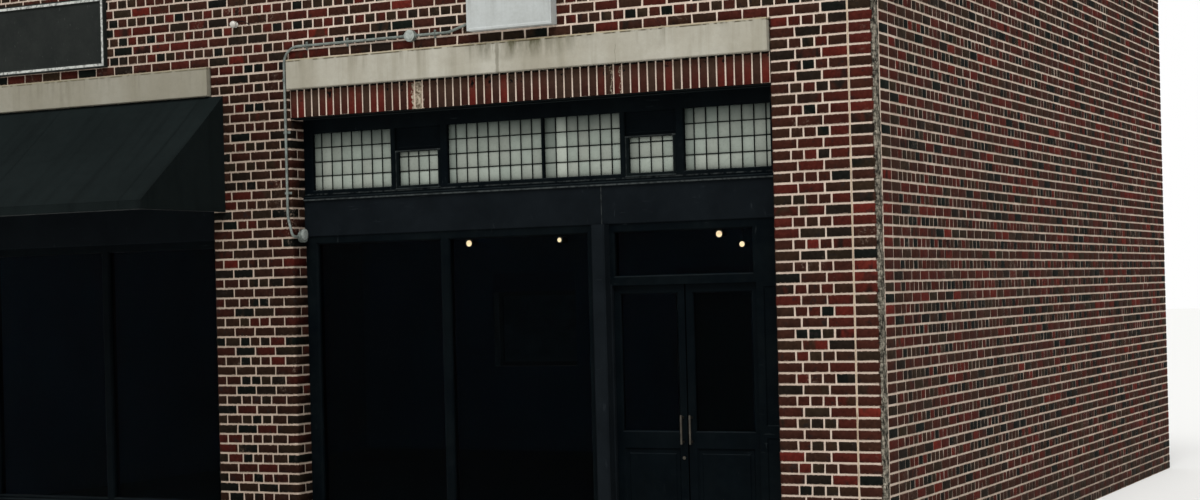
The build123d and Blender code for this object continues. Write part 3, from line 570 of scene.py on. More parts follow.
DARKENING = (1.7, 2.2, 1.7, 2.4, 1.3, 0.36, 0.2)
# Dark plaster colour of the room's inner faces, painted shade of the unlit room
PAINTED_ROOM_SHADE = (44, 56, 63)
# Cracks and a stain in the stone lintels, as place along the wall, half width and foot above a level below the top
CRACKS = ((3.436, 0.0025, 0.16), (2.41, 0.02, 0.3), (-2.87, 0.0025, 0.2))
CRACK_LEVEL = 0.27
# Threads of the canvas in radians per metre, and the pitch of its sewn seams
THREADS, SEAM_PITCH = 2600.0, 0.76
FELT_WIDTH = 0.5


def brick_finish(s):
    """Fired clay: tone by brick, two-tone firing, painted shade on the piers, most towards their foot, dark patches,
    grain, pale specks, mortar smears and dirt near the ground.
    """
    f = Finish("brick_clay", Specular_IOR_Level=0.03)
    tone, soot, seed = f.attribute("brick_tone")
    own = f.own_place(seed, 37.0, 11.0)
    f.base = f.ramp(tone, CLAY)
    split = f.cloud((7.0, 2.0, 0.5, 0.5), 0.5, 0.6, place=f.scaled(own, 0.5))
    two_tone = f.span(f.math("FRACT", f.times(seed, 13.0)), 0.72, 0.78, 0.0, 0.8)
    f.coat(f.times(split, two_tone), f.ramp(f.times(f.math("FRACT", f.times(seed, 7.0)), 0.5), CLAY))
    # Mottle and the brick's own shade; a value below zero is painted shade, darker towards the foot of the piers
    f.shade(f.times(f.cloud((30.0, 4.0, 0.75), 0.3, 0.7, 0.66, 1.3, place=own),
                    f.span(soot, 0.0, 1.0, 0.92, 1.1), f.span(soot, -1.0, 0.0, 0.4, 1.0)))
    f.coat(f.cloud((15.0, 3.0, 0.6, 0.3), 0.6, 0.68, 0.0, 0.7, place=own), 30, 26, 25)
    sand = f.grain(150.0)
    f.shade(sand["Tint"])
    f.coat(f.cloud((95.0, 3.0, 0.7), 0.69, 0.74, 0.0, 0.45, place=own), 140, 112, 96)
    smears = f.times(f.cloud((2.3, 3.0, 0.6), 0.62, 0.74), f.cloud((60.0, 4.0, 0.7), 0.54, 0.66, 0.0, 0.5))
    f.coat(smears, 176, 156, 138)
    from_bed = f.math("PINGPONG", f.z, s.course / 2)
    lap = f.math("SUBTRACT", from_bed, f.cloud((55.0, 3.0, 0.7), 0.42, 0.68, -0.001, 0.006))
    f.coat(f.span(lap, s.joint / 2 + 0.0008, s.joint / 2, 0.0, 0.75), 150, 132, 117)
    f.coat(f.times(f.span(f.z, 0.45, 0.0), f.cloud((6.0,), 0.35, 0.65, 0.25, 0.8)), 50, 43, 37)
    pits = f.cloud((420.0, 2.0, 0.5), 0.3, 0.5, place=own)
    return f.done((f.plus(f.times(sand["Height"], 0.8), f.times(pits, 0.4)), 0.6, 0.0016),
                  Roughness=f.span(sand["Height"], 0.3, 0.7, 0.95, 0.8))


def rough_mortar_finish():
    """Coarse mortar squeezed against a building that stood beside the wall: pale lumps and dark hollows."""
    f = Finish("rough_mortar", Specular_IOR_Level=0.03, Roughness=0.95)
    lumps = f.noise(f.scaled(f.place, 0.6), 32.0, 4.0, 0.7)
    f.base = f.ramp(lumps, ROUGH_MORTAR)
    sand = f.grain(200.0)
    f.shade(sand["Tint"])
    return f.done((f.plus(f.times(lumps, 3.0), sand["Height"]), 0.8, 0.006))


def mortar_finish(tone):
    """Lime mortar: pale, sandy and weathered outside, with painted shade over the left of the front and further down,
    and a dark plaster colour inside the room that is painted shade of the unlit room.
    """
    f = Finish("lime_mortar", tuple(tone), Specular_IOR_Level=0.03, Roughness=0.95)
    f.coat(f.grime(1.3, 0.45), 170, 152, 134)
    f.coat(f.grime(11.0, 0.5), 180, 158, 144)
    # Painted shade: the left half of the front is darker than the right, less so towards the top, and all the mortar
    # grows darker further down
    f.coat(f.times(f.span(f.x, 0.46, 0.38, 0.0, 0.75), f.span(f.z, 4.6, 3.6, 0.3, 1.0)), 152, 136, 121)
    f.coat(f.span(f.z, 4.2, 3.0, 0.0, 0.3), 160, 143, 128)
    f.coat(f.cloud((34.0, 4.0, 0.7), 0.66, 0.72, 0.0, 0.7), 96, 80, 68)
    f.coat(f.times(f.span(f.z, 0.6, 0.0), f.cloud((5.0,), 0.3, 0.65, 0.2, 0.75)), 120, 106, 92)
    sand = f.grain(240.0)
    f.shade(sand["Tint"])
    low, high = extent("floor_slab")
    ceiling = extent("roof_slab")[0][2]
    inside = f.span(f.z, ceiling + 0.001, ceiling)
    for value, a, b in ((f.x, low[0], high[0]), (f.y, low[1], high[1])):
        inside = f.times(inside, f.span(value, a - 0.008, a - 0.006), f.span(value, b + 0.008, b + 0.006))
    # Inside the room the walls take a dark plaster colour, painted shade of the unlit room
    f.coat(inside, f.mix(f.grime(0.9, 0.8), colour(56, 70, 78), colour(*PAINTED_ROOM_SHADE)))
    return f.done((sand["Height"], 0.7, 0.002))


def soldier_finish(patches):
    """Upright bricks: brown and red, dusty on top, with holes, smears of mortar and a painted shadow along their top
    edge under the lintel. Patches are (x, half width).
    """
    f = Finish("soldier_clay", Specular_IOR_Level=0.03)
    top = extent("soldier_courses")[1][2]
    tone, holed, seed = f.attribute("brick_tone")
    own = f.own_place(seed, 23.0, 0.0)
    f.base = f.ramp(tone, SOLDIER_CLAY)
    f.shade(f.cloud((26.0, 4.0, 0.7), 0.3, 0.7, 0.8, 1.2, place=own))
    dust_and_painted_shade = f.cloud((14.0, 3.0), 0.3, 0.6, 0.4, 1.0, place=own)
    f.coat(f.times(f.span(f.z, top - 0.17, top - 0.02, 0.0, 0.6), dust_and_painted_shade), 70, 54, 43)
    hole = f.cloud((24.0, 2.0, 0.5), 0.6, 0.63, place=own)
    f.coat(f.times(hole, f.span(f.z, top - 0.12, top - 0.07), f.span(holed, 0.45, 0.5)), 14, 13, 12)
    wavy_x = f.plus(f.x, f.cloud((21.0, 4.0, 0.7), 0.3, 0.7, -0.024, 0.024))
    cream = f.mix(f.cloud((38.0, 4.0, 0.75), 0.38, 0.6), colour(84, 72, 58), colour(180, 168, 148))
    for centre, half in patches:
        f.coat(f.span(f.away(wavy_x, centre), half, half - 0.008, 0.0, 0.92), cream)
    # Painted shadow: a dark band along the top of the upright bricks, under the projecting lintel
    f.coat(f.span(f.z, top - 0.02, top - 0.014), 15, 14, 13)
    sand = f.grain(170.0)
    f.shade(sand["Tint"])
    return f.done((sand["Height"], 0.6, 0.0016), Roughness=f.span(sand["Height"], 0.3, 0.7, 0.95, 0.82))


def stone_finish():
    """Cast stone: pale, with soft upright stains, mould, hair cracks, a mortar line along its top edge and pits."""
    f = Finish("cast_stone", colour(156, 151, 136), Specular_IOR_Level=0.06)
    top = extent("stone_lintels")[1][2]
    f.coat(f.cloud((2.4, 3.0), 0.35, 0.65, place=f.scaled(f.place, 0.2)), 178, 175, 163)
    f.coat(f.grime(1.8, 0.5), 146, 141, 126)
    f.coat(f.cloud((7.0, 4.0, 0.6), 0.52, 0.68, 0.0, 0.45, place=f.scaled(f.place, 0.06)), 132, 127, 110)
    f.coat(f.streaks(top + 0.03, 0.22, 0.8), 104, 100, 84)
    mould = f.times(f.span(f.x, 2.05, 2.4), f.span(f.x, 3.4, 2.75), f.span(f.z, top - 0.17, top - 0.02))
    f.coat(f.times(mould, f.cloud((9.0, 4.0, 0.65), 0.4, 0.62, place=f.scaled(f.place, 0.3))), 84, 82, 62)
    wavy_x = f.plus(f.x, f.cloud((16.0, 3.0), 0.3, 0.7, -0.006, 0.006))
    for crack, half, reach in CRACKS:
        foot = top - CRACK_LEVEL + reach
        f.coat(f.times(f.span(f.away(wavy_x, crack), half, half * 0.5), f.span(f.z, foot + 0.02, foot, 0.0, 0.5)),
               92, 88, 72)
    under = f.times(f.span(f.z, top - 0.022, top - 0.017), f.span(f.z, top - 0.008, top - 0.011))
    f.coat(f.times(under, f.cloud((17.0, 4.0), 0.4, 0.52), 0.85), 66, 56, 38)
    f.coat(f.times(f.span(f.z, top - 0.011, top - 0.008), f.cloud((23.0, 3.0), 0.4, 0.6, 0.4, 0.8)), 160, 146, 114)
    # Further left the stone is duller, and most of all over the awning: partly dirt, partly painted shade
    f.coat(f.span(f.x, 1.6, 0.6, 0.0, 0.12), 118, 114, 98)
    f.coat(f.span(f.x, 0.0, -0.4, 0.0, 0.42), 110, 106, 90)
    # Inside the room the lintels of the back wall take the dark plaster colour, painted shade of the unlit room
    f.coat(f.times(f.span(f.normal()[1], -0.5, -0.6), f.span(f.y, 4.0, 4.1)), *PAINTED_ROOM_SHADE)
    f.coat(f.times(f.span(f.z, 0.12, 0.0), 0.6), 104, 98, 86)
    sand = f.grain(120.0)
    f.shade(f.span(sand["Height"], 0.3, 0.7, 0.94, 1.06))
    pits = f.cloud((260.0, 2.0), 0.26, 0.36)
    return f.done((f.plus(sand["Height"], pits), 0.35, 0.001), Roughness=f.span(sand["Height"], 0.3, 0.7, 0.9, 0.75))


def coping_finish():
    """Stone copings: the same cast stone, darker and more weathered on top."""
    f = Finish("coping_stone", colour(160, 156, 142), Specular_IOR_Level=0.05, Roughness=0.88)
    f.coat(f.grime(2.2, 0.8), 120, 116, 102)
    f.coat(f.grime(14.0, 0.6), 104, 104, 84)
    f.coat(f.streaks(extent("copings")[1][2] + 0.0117, 0.2, 0.7), 84, 80, 70)
    sand = f.grain(110.0)
    f.shade(f.span(sand["Height"], 0.3, 0.7, 0.9, 1.1))
    return f.done((sand["Height"], 0.45, 0.0015))


def concrete_finish():
    """Dark trowelled concrete."""
    f = Finish("floor_concrete", colour(40, 46, 47), Specular_IOR_Level=0.05, Roughness=0.9)
    f.coat(f.grime(1.1, 0.8), 28, 33, 35)
    sand = f.grain(90.0)
    f.shade(f.span(sand["Height"], 0.3, 0.7, 0.9, 1.1))
    return f.done((sand["Height"], 0.3, 0.001))


def felt_finish():
    """Mineral roofing felt with lapped sheets, and the ceiling under it darkened as painted shade of the unlit room.
    """
    f = Finish("roofing_felt", colour(66, 68, 68), Specular_IOR_Level=0.05, Roughness=0.95)
    seam = f.span(f.math("PINGPONG", f.plus(f.x, 20.0), FELT_WIDTH), 0.012, 0.0)
    f.coat(f.grime(0.8, 0.8), 46, 47, 48)
    f.coat(seam, 30, 30, 31)
    # Painted shade: faces that look down, the room's ceiling, are dark
    f.coat(f.span(f.normal()[2], -0.5, -0.6), 26, 33, 37)
    sand = f.grain(320.0)
    f.shade(sand["Tint"])
    return f.done((f.plus(sand["Height"], f.times(seam, 0.8)), 0.6, 0.002))


def sealant_finish():
    """Aged sealant in the movement joint."""
    f = Finish("joint_sealant", colour(190, 172, 148), Specular_IOR_Level=0.25, Roughness=0.7)
    f.coat(f.grime(9.0, 0.8), 132, 112, 92)
    return f.done((f.noise(f.scaled(f.place, 0.25), 60.0, 2.0), 0.5, 0.003))


def paint_finish(name, tone, worn, gloss, wear=0.35, specular=0.015, brush=0.06, lines=()):
    """Exterior paint: brush marks, dusty ledges, scuffs, chips and drips that show an older coat.

    Lines are pale edges, partly worn paint and partly painted highlight, given as axis, place, half width, strength
    and how much of it stays where it is broken.
    """
    f = Finish(name, colour(*tone), Specular_IOR_Level=specular)
    marks = f.noise(f.scaled(f.place, brush), 220.0, 3.0, 0.6)
    dust_and_painted_shade = f.grime(1.7, 0.6)
    f.coat(dust_and_painted_shade, *worn)
    older = tuple(min(1.0, v * 2.6 + 0.01) for v in colour(*worn)[:3]) + (1.0,)
    chips = f.cloud((46.0, 4.0, 0.7), 0.7, 0.73, 0.0, wear)
    f.coat(f.math("MAXIMUM", chips, f.use(scuffs, Amount=wear)["Mask"]), older)
    f.coat(f.times(f.span(f.normal()[2], 0.5, 0.9, 0.0, 0.5), f.cloud((12.0, 3.0), 0.3, 0.6, 0.4, 1.0)), older)
    # Pale lines along edges: partly worn paint, partly painted highlight
    for axis, place, half, strength, least in lines:
        edge = f.span(f.away((f.x, f.y, f.z)[axis], place), half, half * 0.7, 0.0, strength)
        f.coat(f.times(edge, f.cloud((21.0, 4.0, 0.7), 0.4, 0.55, least, 1.0)), 104, 110, 108)
    f.coat(f.cloud((34.0, 3.0, 0.6), 0.68, 0.73, 0.0, wear, place=f.scaled(f.place, 0.22)), older)
    f.shade(f.cloud((5.0, 3.0), 0.3, 0.7, 0.85, 1.15))
    rough = f.span(f.plus(marks, dust_and_painted_shade), 0.3, 1.3, gloss - 0.08, gloss + 0.25)
    return f.done((f.plus(f.times(marks, 0.5), f.times(chips, -1.0)), 0.25, 0.0006), Roughness=rough)


def metal_finish(name, tone, dark, roughness, metallic=0.85, brushed=False):
    """Metal with a dull skin, spots of dirt and faint brushing or spangle."""
    f = Finish(name, colour(*tone), Metallic=metallic)
    if brushed:
        pattern = f.noise(f.scaled(f.place, 0.04), 900.0, 2.0)
    else:
        cells = f.node("ShaderNodeTexVoronoi", {"Vector": f.place, "Scale": 120.0})
        pattern = f.parts(cells.outputs["Color"])[0]
    dirt = f.grime(12.0, 0.8)
    f.coat(f.times(pattern, 0.35), *dark)
    f.coat(dirt, *dark)
    rough = f.span(f.plus(pattern, dirt), 0.0, 1.6, roughness - 0.08, roughness + 0.22)
    return f.done((pattern, 0.08, 0.0004), Roughness=rough)


def canvas_finish(tone):
    """Awning canvas: plain weave, sewn seams, dusty streaks washed down the slope."""
    f = Finish("awning_canvas", tuple(tone), Specular_IOR_Level=0.02, Roughness=0.9)
    x, y = f.parts(f.node("ShaderNodeUVMap", uv_map="cloth").outputs["UV"])[:2]
    weave = f.plus(f.math("SINE", f.times(x, THREADS)), f.math("SINE", f.times(y, THREADS)))
    from_seam = f.math("PINGPONG", f.plus(x, 20.0), SEAM_PITCH)
    seam = f.span(from_seam, 0.016, 0.012)
    fold = f.span(f.away(from_seam, 0.014), 0.003, 0.0)
    f.coat(f.times(f.grime(1.2, 0.9), 0.6), 24, 30, 30)
    f.coat(f.cloud((1.0, 4.0, 0.6), 0.5, 0.7, 0.0, 0.5, place=f.vector(f.times(x, 7.0), f.times(y, 0.5), 0.0)),
           12, 16, 16)
    f.coat(f.times(seam, 0.4), 10, 14, 14)
    f.shade(f.span(weave, -2.0, 2.0, 0.93, 1.07))
    relief = f.plus(f.times(weave, 0.06), f.plus(f.times(seam, 0.7), f.times(fold, -0.5)))
    return f.done((relief, 0.35, 0.0012))


def pane_finish(tone):
    """Obscured glass: pale and dusty, with painted shade under the head of each light, over its top rows and its first
    column, and different from pane to pane.
    """
    f = Finish("obscured_pane", tuple(tone), Specular_IOR_Level=0.12, Roughness=0.34)
    shade, dust_and_painted_shade, seed = f.attribute("pane_tone")
    f.coat(f.cloud((9.0, 4.0, 0.6), 0.35, 0.7, 0.0, 0.35), 116, 126, 117)
    f.coat(f.times(seed, 0.4), 146, 144, 135)
    # Dusty film, and painted shade over the top rows and the first column of each light
    f.coat(f.span(dust_and_painted_shade, 0.0, 1.0, 0.0, 0.8), 66, 76, 71)
    # Painted shade under the head of each light, where the deep reveal shades the glass
    head = extent("transom_glass")[1][2]
    wavy_z = f.plus(f.z, f.cloud((4.0, 3.0), 0.3, 0.7, -0.03, 0.03))
    f.coat(f.span(wavy_z, head - 0.13, head, 0.0, 0.7), 60, 70, 66)
    f.coat(f.cloud((42.0, 4.0, 0.7), 0.52, 0.72, 0.0, 0.28), 96, 102, 94)
    f.coat(f.cloud((70.0, 3.0, 0.7), 0.7, 0.76, 0.0, 0.5), 70, 74, 66)
    f.shade(shade)
    return f.done((f.noise(f.place, 14.0, 2.0), 0.12, 0.004))


def back_pane_finish():
    """Obscured glass of the back windows, made dark as painted shade of the unlit room, dusty along its lower edge."""
    f = Finish("back_pane", colour(52, 60, 60), Specular_IOR_Level=0.25, Roughness=0.2)
    foot = extent("back_window_glass")[0][2]
    f.coat(f.math("MAXIMUM", f.span(f.z, foot + 0.12, foot, 0.0, 0.6), f.grime(5.0, 0.6)), 92, 96, 90)
    return f.done((f.noise(f.scaled(f.place, 0.02), 160.0, 2.0), 0.3, 0.002))


def glass_finish():
    """Clear shop glass with a blue cast and a faint dusty film."""
    f = Finish("shop_glass", colour(158, 196, 218), Specular_IOR_Level=0.12, Metallic=0.0, Transmission_Weight=1.0,
               IOR=1.06)
    f.coat(f.times(f.grime(1.6, 0.6), 0.4), 140, 174, 192)
    return f.done(Roughness=f.cloud((3.0, 4.0, 0.6), 0.4, 0.75, 0.0, 0.06, place=f.scaled(f.place, 0.4)))


def board_finish():
    """Plain sign board: dark field inside a pale, weathered border."""
    f = Finish("sign_board_paint", colour(37, 40, 38), Specular_IOR_Level=0.04, Roughness=0.55)
    low, high = extent("sign_board")
    centre, half = (low + high) / 2, (high - low) / 2
    margin = f.math("MINIMUM", f.math("SUBTRACT", half[0], f.away(f.x, centre[0])),
                    f.math("SUBTRACT", half[2], f.away(f.z, centre[2])))
    f.coat(f.grime(5.0, 0.7), 26, 29, 28)
    f.coat(f.cloud((90.0, 3.0, 0.7), 0.68, 0.72, 0.0, 0.5, place=f.scaled(f.place, 0.2)), 96, 98, 94)
    f.coat(f.times(f.span(margin, 0.011, 0.013), f.span(margin, 0.034, 0.032),
                   f.cloud((34.0, 4.0, 0.7), 0.38, 0.56, 0.3, 0.95)), 196, 198, 192)
    return f.done((f.noise(f.place, 120.0), 0.2, 0.0006))


def tray_finish():
    """Pale enamelled sheet with rain streaks and dirt."""
    f = Finish("sign_tray_enamel", colour(178, 182, 180), Specular_IOR_Level=0.08)
    dirt = f.grime(6.0, 0.5)
    f.coat(dirt, 152, 154, 150)
    f.coat(f.streaks(extent("sign_tray")[1][2], 0.4, 0.7), 120, 121, 115)
    return f.done((f.noise(f.place, 40.0), 0.1, 0.001), Roughness=f.span(dirt, 0.0, 0.5, 0.4, 0.6))


def bulb_finish():
    """Lit lamp glass, orange enough to look warm white through the bluish panes."""
    f = Finish("lamp_glow", colour(255, 174, 118), Roughness=0.4, Emission_Strength=2.8)
    f.coat(f.cloud((60.0,), 0.4, 0.6), 255, 190, 138)
    return f.done(Emission_Color=f.base)


def porcelain_finish():
    """White glazed porcelain with grey dirt."""
    f = Finish("insulator_porcelain", colour(204, 200, 192), Specular_IOR_Level=0.5)
    dirt = f.grime(30.0, 0.7)
    f.coat(dirt, 128, 120, 108)
    return f.done(Roughness=f.span(dirt, 0.0, 0.6, 0.25, 0.6))


def runs(rows, values, gap):
    """Splits sorted rows where their values leave a gap."""
    return np.split(rows, np.nonzero(np.diff(values) > gap)[0] + 1)


# Brickwork

# Level at which the painted shade on the piers takes its top value
PAINTED_SHADE_TOP = 4.5
# Piers by seed, darkness, painted shade at foot and top, width of the closers and corner forms
PIERS = {"pier_left": (11, 0.4, (0.5, 0.2), 0.5, ("square", "round")),
         "pier_middle": (12, 0.6, (0.9, 0.35), 0.5, ("round", "round")),
         "pier_right": (13, 0.1, (0.12, 0.0), 0.75, ("round", None))}
# Smears of mortar on the upright bricks, as place along the wall and half width
SMEARS = ((1.642, 0.05), (3.375, 0.008), (3.452, 0.008))


def joints(length, stretchers, first, last):
    """Places of the upright joints of one course, in stretchers from its start."""
    if stretchers:
        return [0.0, *np.arange(1.0, length - 0.01), length]
    starts = {0.75: 0.75, 0.5: 1.25}
    lead = [0.5] if first == 0.5 else []
    tail = [length - 0.5] if last == 0.5 else []
    return [0.0, *lead, *np.arange(starts[first], length - starts[last] + 0.01, 0.5), *tail, length]


def mortar_core(low, high, inset, radius=0.0, rounded=()):
    """Models the mortar body behind the bricks. Inset is by side: x0, x1, y0, y1, z0, z1."""
    low = np.array(low) + np.array(inset[::2])
    high = np.array(high) - np.array(inset[1::2])
    core = new_cube(low, high)
    for side in rounded:
        edge_x = low[0] if side == "left" else high[0]
        bevel_edges(core, radius, 5, lambda p: abs(p.x - edge_x) < 0.0001 and abs(p.y - low[1]) < 0.0001)
    return core


class Bricklayer:
    """Lays courses of bricks in English bond on the faces of one wall."""

    def __init__(self, settings, seed, darkness, soot=(0.0, 0.0)):
        self.s = settings
        self.darkness, self.soot = darkness, soot
        self.half_joint = settings.joint / 2
        self.pile = Pile(seed)
        self.random = self.pile.random
        self.whole = plain_block(settings.arris)
        self.faced = plain_block(settings.arris, open_back=True)
        self.round_left = rounded_block(settings.arris, settings.bullnose)
        self.round_right = self.round_left.mirrored()

    def courses(self, low, high):
        """Numbers of the courses between two levels."""
        return range(round(low / self.s.course), round(high / self.s.course))

    def tone(self, header, height):
        """Picks a brick's tone, shade and seed: headers are often burnt dark, and darkness favours brown bricks.

        Painted shade is given at the foot and at the top level, and takes the shade below zero.
        """
        weights = np.array(HEADERS if header else STRETCHERS) * np.array(DARKENING) ** self.darkness
        low, high = KINDS[self.random.choice(len(KINDS), p=weights / weights.sum())]
        soot = np.interp(height, (0.0, PAINTED_SHADE_TOP), self.soot)
        return self.random.uniform(low, high), self.random.random() * (soot == 0) - soot, self.random.random()

    def place(self, form, facing, low, high, plane, depth, course, header):
        """Adds one brick whose face lies in a plane."""
        z0, z1 = course * self.s.course + self.half_joint, (course + 1) * self.s.course - self.half_joint
        near, far = (plane - depth, plane) if facing in ("back", "right") else (plane, plane + depth)
        tone = self.tone(header, z0)
        if facing in ("front", "back"):
            self.pile.add(form, facing, (low, near, z0), (high, far, z1), tone)
        else:
            self.pile.add(form, facing, (near, low, z0), (far, high, z1), tone)

    def face(self, facing, start, end, plane, courses, first=0.75, last=0.75, ends=(None, None), shell=False):
        """Lays a wall face from start to end. First and last are the closers' widths, ends are corner forms."""
        step = self.s.stretcher
        for course in courses:
            places = joints(float(round((end - start) / step)), course % 2 == 1, first, last)
            for number, (a, b) in enumerate(zip(places, places[1:])):
                header = b - a < 0.6
                corner_depth = (1.0 if header else 0.5) * step - self.half_joint
                form, depth = self.faced if shell else self.whole, 0.5 * step - self.half_joint
                low, high = start + a * step + self.half_joint, start + b * step - self.half_joint
                if number == 0 and ends[0]:
                    low -= self.half_joint
                    form, depth = self.round_left if ends[0] == "round" else self.whole, corner_depth
                if number == len(places) - 2 and ends[1]:
                    high += self.half_joint
                    form, depth = self.round_right if ends[1] == "round" else self.whole, corner_depth
                self.place(form, facing, low, high, plane, depth, course, header)

    def returns(self, facing, plane, front, courses, corner_is_bat=False):
        """Lays the side of a pier behind its corner bricks."""
        step = self.s.stretcher
        for course in courses:
            deep_corner = course % 2 == 0 and not corner_is_bat
            low = front + (1.0 if deep_corner else 0.5) * step + self.half_joint
            self.place(self.whole, facing, low, front + 1.5 * step - self.half_joint, plane,
                       0.5 * step - self.half_joint, course, deep_corner)

    def build(self, node, cores, clay, mortar, name=None, wobble=0.0018, extra=()):
        """Makes one piece of the bricks and their mortar, in place of a CAD node."""
        name = name or f"brickwork_{node}"
        bricks = self.pile.mesh(name, wobble, "brick_tone", extent(node))
        for obj, material in ((bricks, clay), *((core, mortar) for core in cores)):
            obj.data.materials.append(material)
        finish_piece(joined(name, [bricks, *cores, *extra]), replaces=(node,))


class SHOP_OT_lay_front(bpy.types.Operator):
    """Lay the piers, the wall over the bays and the end strip in English bond"""
    bl_idname = "shop.lay_front"
    bl_label = "Lay Street Front"

    def execute(self, context):
        s = context.scene.shop_brickwork
        clay, mortar = brick_finish(s), mortar_finish(s.mortar)
        for name, (seed, darkness, soot, closer, ends) in PIERS.items():
            low, high = extent(name)
            layer = Bricklayer(s, seed, darkness, soot)
            courses = layer.courses(0, high[2])
            layer.face("front", low[0], high[0], low[1], courses, closer, closer, ends)
            layer.returns("left", low[0], low[1], courses, closer == 0.75)
            if ends[1]:
                layer.returns("right", high[0], low[1], courses, closer == 0.75)
            rounded = [side for side, form in zip(("left", "right"), ends) if form == "round"]
            inset = (s.rake, s.rake if ends[1] else 0, s.rake, 0, 0, 0)
            layer.build(name, [mortar_core(low, high, inset, s.bullnose - s.rake, rounded)], clay, mortar)
        self.wall_over_bays(s, clay, mortar)
        self.end_strip(s, clay, mortar)
        return {"FINISHED"}

    def wall_over_bays(self, s, clay, mortar):
        """Lays the wall over the bays and the inner face of its parapet."""
        low, high = extent("front_wall_top")
        roof_low, roof_high = extent("roof_slab")
        layer = Bricklayer(s, 14, 0.1)
        courses = layer.courses(low[2], high[2])
        layer.face("front", low[0], high[0], low[1], courses, 0.5, 0.75, ("square", None))
        layer.returns("left", low[0], low[1], courses)
        layer.face("back", roof_low[0], roof_high[0], high[1], layer.courses(roof_high[2], high[2]), shell=True)
        core = mortar_core(low, high, (s.rake, 0, s.rake, s.rake, 0, 0))
        layer.build("front_wall_top", [core], clay, mortar, name="brickwork_front_top")

    def end_strip(self, s, clay, mortar):
        """Lays the narrow strip past the movement joint, with rough mortar against the next building's line."""
        low, high = extent("end_strip")
        layer = Bricklayer(s, 15, 0.1)
        depth = 0.5 * s.stretcher - layer.half_joint
        for course in layer.courses(0, high[2]):
            edge = high[0] - 0.024 + layer.random.uniform(-0.006, 0.004)
            layer.place(layer.whole, "front", low[0] + 0.003, edge, low[1], depth, course, False)
            layer.place(layer.whole, "right", low[1] + depth + s.joint, high[1] - layer.half_joint, high[0] - 0.001,
                        0.4 * s.stretcher, course, False)
        band = low[1] + 0.1
        cores = [mortar_core(low, (high[0], band, high[2]), (0, 0.034, s.rake, 0, 0, 0)),
                 mortar_core((low[0], band, low[2]), high, (0, s.rake, 0, 0, 0, 0))]
        lumps, level = Pile(16), low[2]
        while level < high[2] - 0.04:
            tall = lumps.random.uniform(0.018, 0.05)
            outer = high[0] - lumps.random.uniform(0.002, 0.009)
            face = low[1] + lumps.random.uniform(0.003, 0.014)
            lumps.add(layer.whole, "front", (high[0] - 0.038, face, level), (outer, band, level + tall))
            level += tall
        rough = lumps.mesh("rough_mortar", 0.002, "brick_tone", (low, high))
        rough.data.materials.append(rough_mortar_finish())
        layer.build("end_strip", cores, clay, mortar, wobble=0.0012, extra=[rough])


class SHOP_OT_lay_sides(bpy.types.Operator):
    """Lay the party walls and the back wall"""
    bl_idname = "shop.lay_sides"
    bl_label = "Lay Party Walls and Back"

    def execute(self, context):
        s = context.scene.shop_brickwork
        clay, mortar = bpy.data.materials["brick_clay"], bpy.data.materials["lime_mortar"]
        roof_top = extent("roof_slab")[1][2]
        for side, inward, seed in (("left", "right", 21), ("right", "left", 22)):
            low, high = extent(f"party_wall_{side}")
            layer = Bricklayer(s, seed, 0.2)
            outer, inner = (low[0], high[0]) if side == "left" else (high[0], low[0])
            layer.face(side, low[1], high[1], outer, layer.courses(0, high[2]), shell=True)
            layer.face(inward, low[1], high[1], inner, layer.courses(roof_top, high[2]), shell=True)
            core = mortar_core(low, high, (s.rake, s.rake, 0, 0, 0, 0))
            layer.build(f"party_wall_{side}", [core], clay, mortar)
        self.back_wall(s, clay, mortar)
        return {"FINISHED"}

    def back_wall(self, s, clay, mortar):
        """Lays the back wall round its door and windows."""
        low, high = extent("back_wall")
        layer = Bricklayer(s, 23, 0.2)
        step, half_joint = s.stretcher, layer.half_joint
        door_low, door_high = extent("back_door")
        window_low, window_high = extent("back_window_frames")
        lintel_top, window = extent("back_lintels")[1][2], 6 * step
        holes = [(door_low[0], door_high[0], 0.0), (window_low[0], window_low[0] + window, window_low[2]),
                 (window_high[0] - window, window_high[0], window_low[2])]
        stretchers = float(round((high[0] - low[0]) / step))
        for course in layer.courses(0, high[2]):
            middle = (course + 0.5) * s.course
            open_here = [(a, b) for a, b, base in holes if base < middle < lintel_top]
            places = [low[0] + p * step for p in joints(stretchers, course % 2 == 1, 0.5, 0.5)]
            last = len(places) - 2
            for number, (a, b) in enumerate(zip(places, places[1:])):
                spans = [(a, b)]
                for x0, x1 in open_here:
                    spans = [(max(p, q0), min(q, q1)) for p, q in spans
                             for q0, q1 in ((-99, x0), (x1, 99)) if min(q, q1) - max(p, q0) > 0.03]
                for p, q in spans:
                    corner, header = number in (0, last), q - p < 0.6 * step
                    form = layer.whole if corner or open_here else layer.faced
                    depth = (1.0 if corner and header else 0.5) * step - half_joint
                    layer.place(form, "back", p + half_joint * (number > 0), q - half_joint * (number < last),
                                high[1], depth, course, header)
            end = high[1] - (0.5 if course % 2 else 1.0) * step - half_joint
            for facing, plane in (("left", low[0]), ("right", high[0])):
                layer.place(layer.whole, facing, low[1] + half_joint, end, plane, 0.4 * step, course, False)
        roof_low, roof_high = extent("roof_slab")
        layer.face("front", roof_low[0], roof_high[0], low[1], layer.courses(roof_high[2], high[2]), shell=True)
        core = linked("core", NODES["back_wall"].data.copy())
        core.matrix_world = NODES["back_wall"].matrix_world
        core.data.materials.clear()
        merge(settle(core), 0.00001, outward=False)
        points, inset = np.array([v.co for v in core.data.vertices]), np.array((s.rake, s.rake, 0.0))
        points = np.clip(points, low + inset, high - inset).astype(np.float32)
        core.data.vertices.foreach_set("co", points.ravel())
        layer.build("back_wall", [core], clay, mortar)


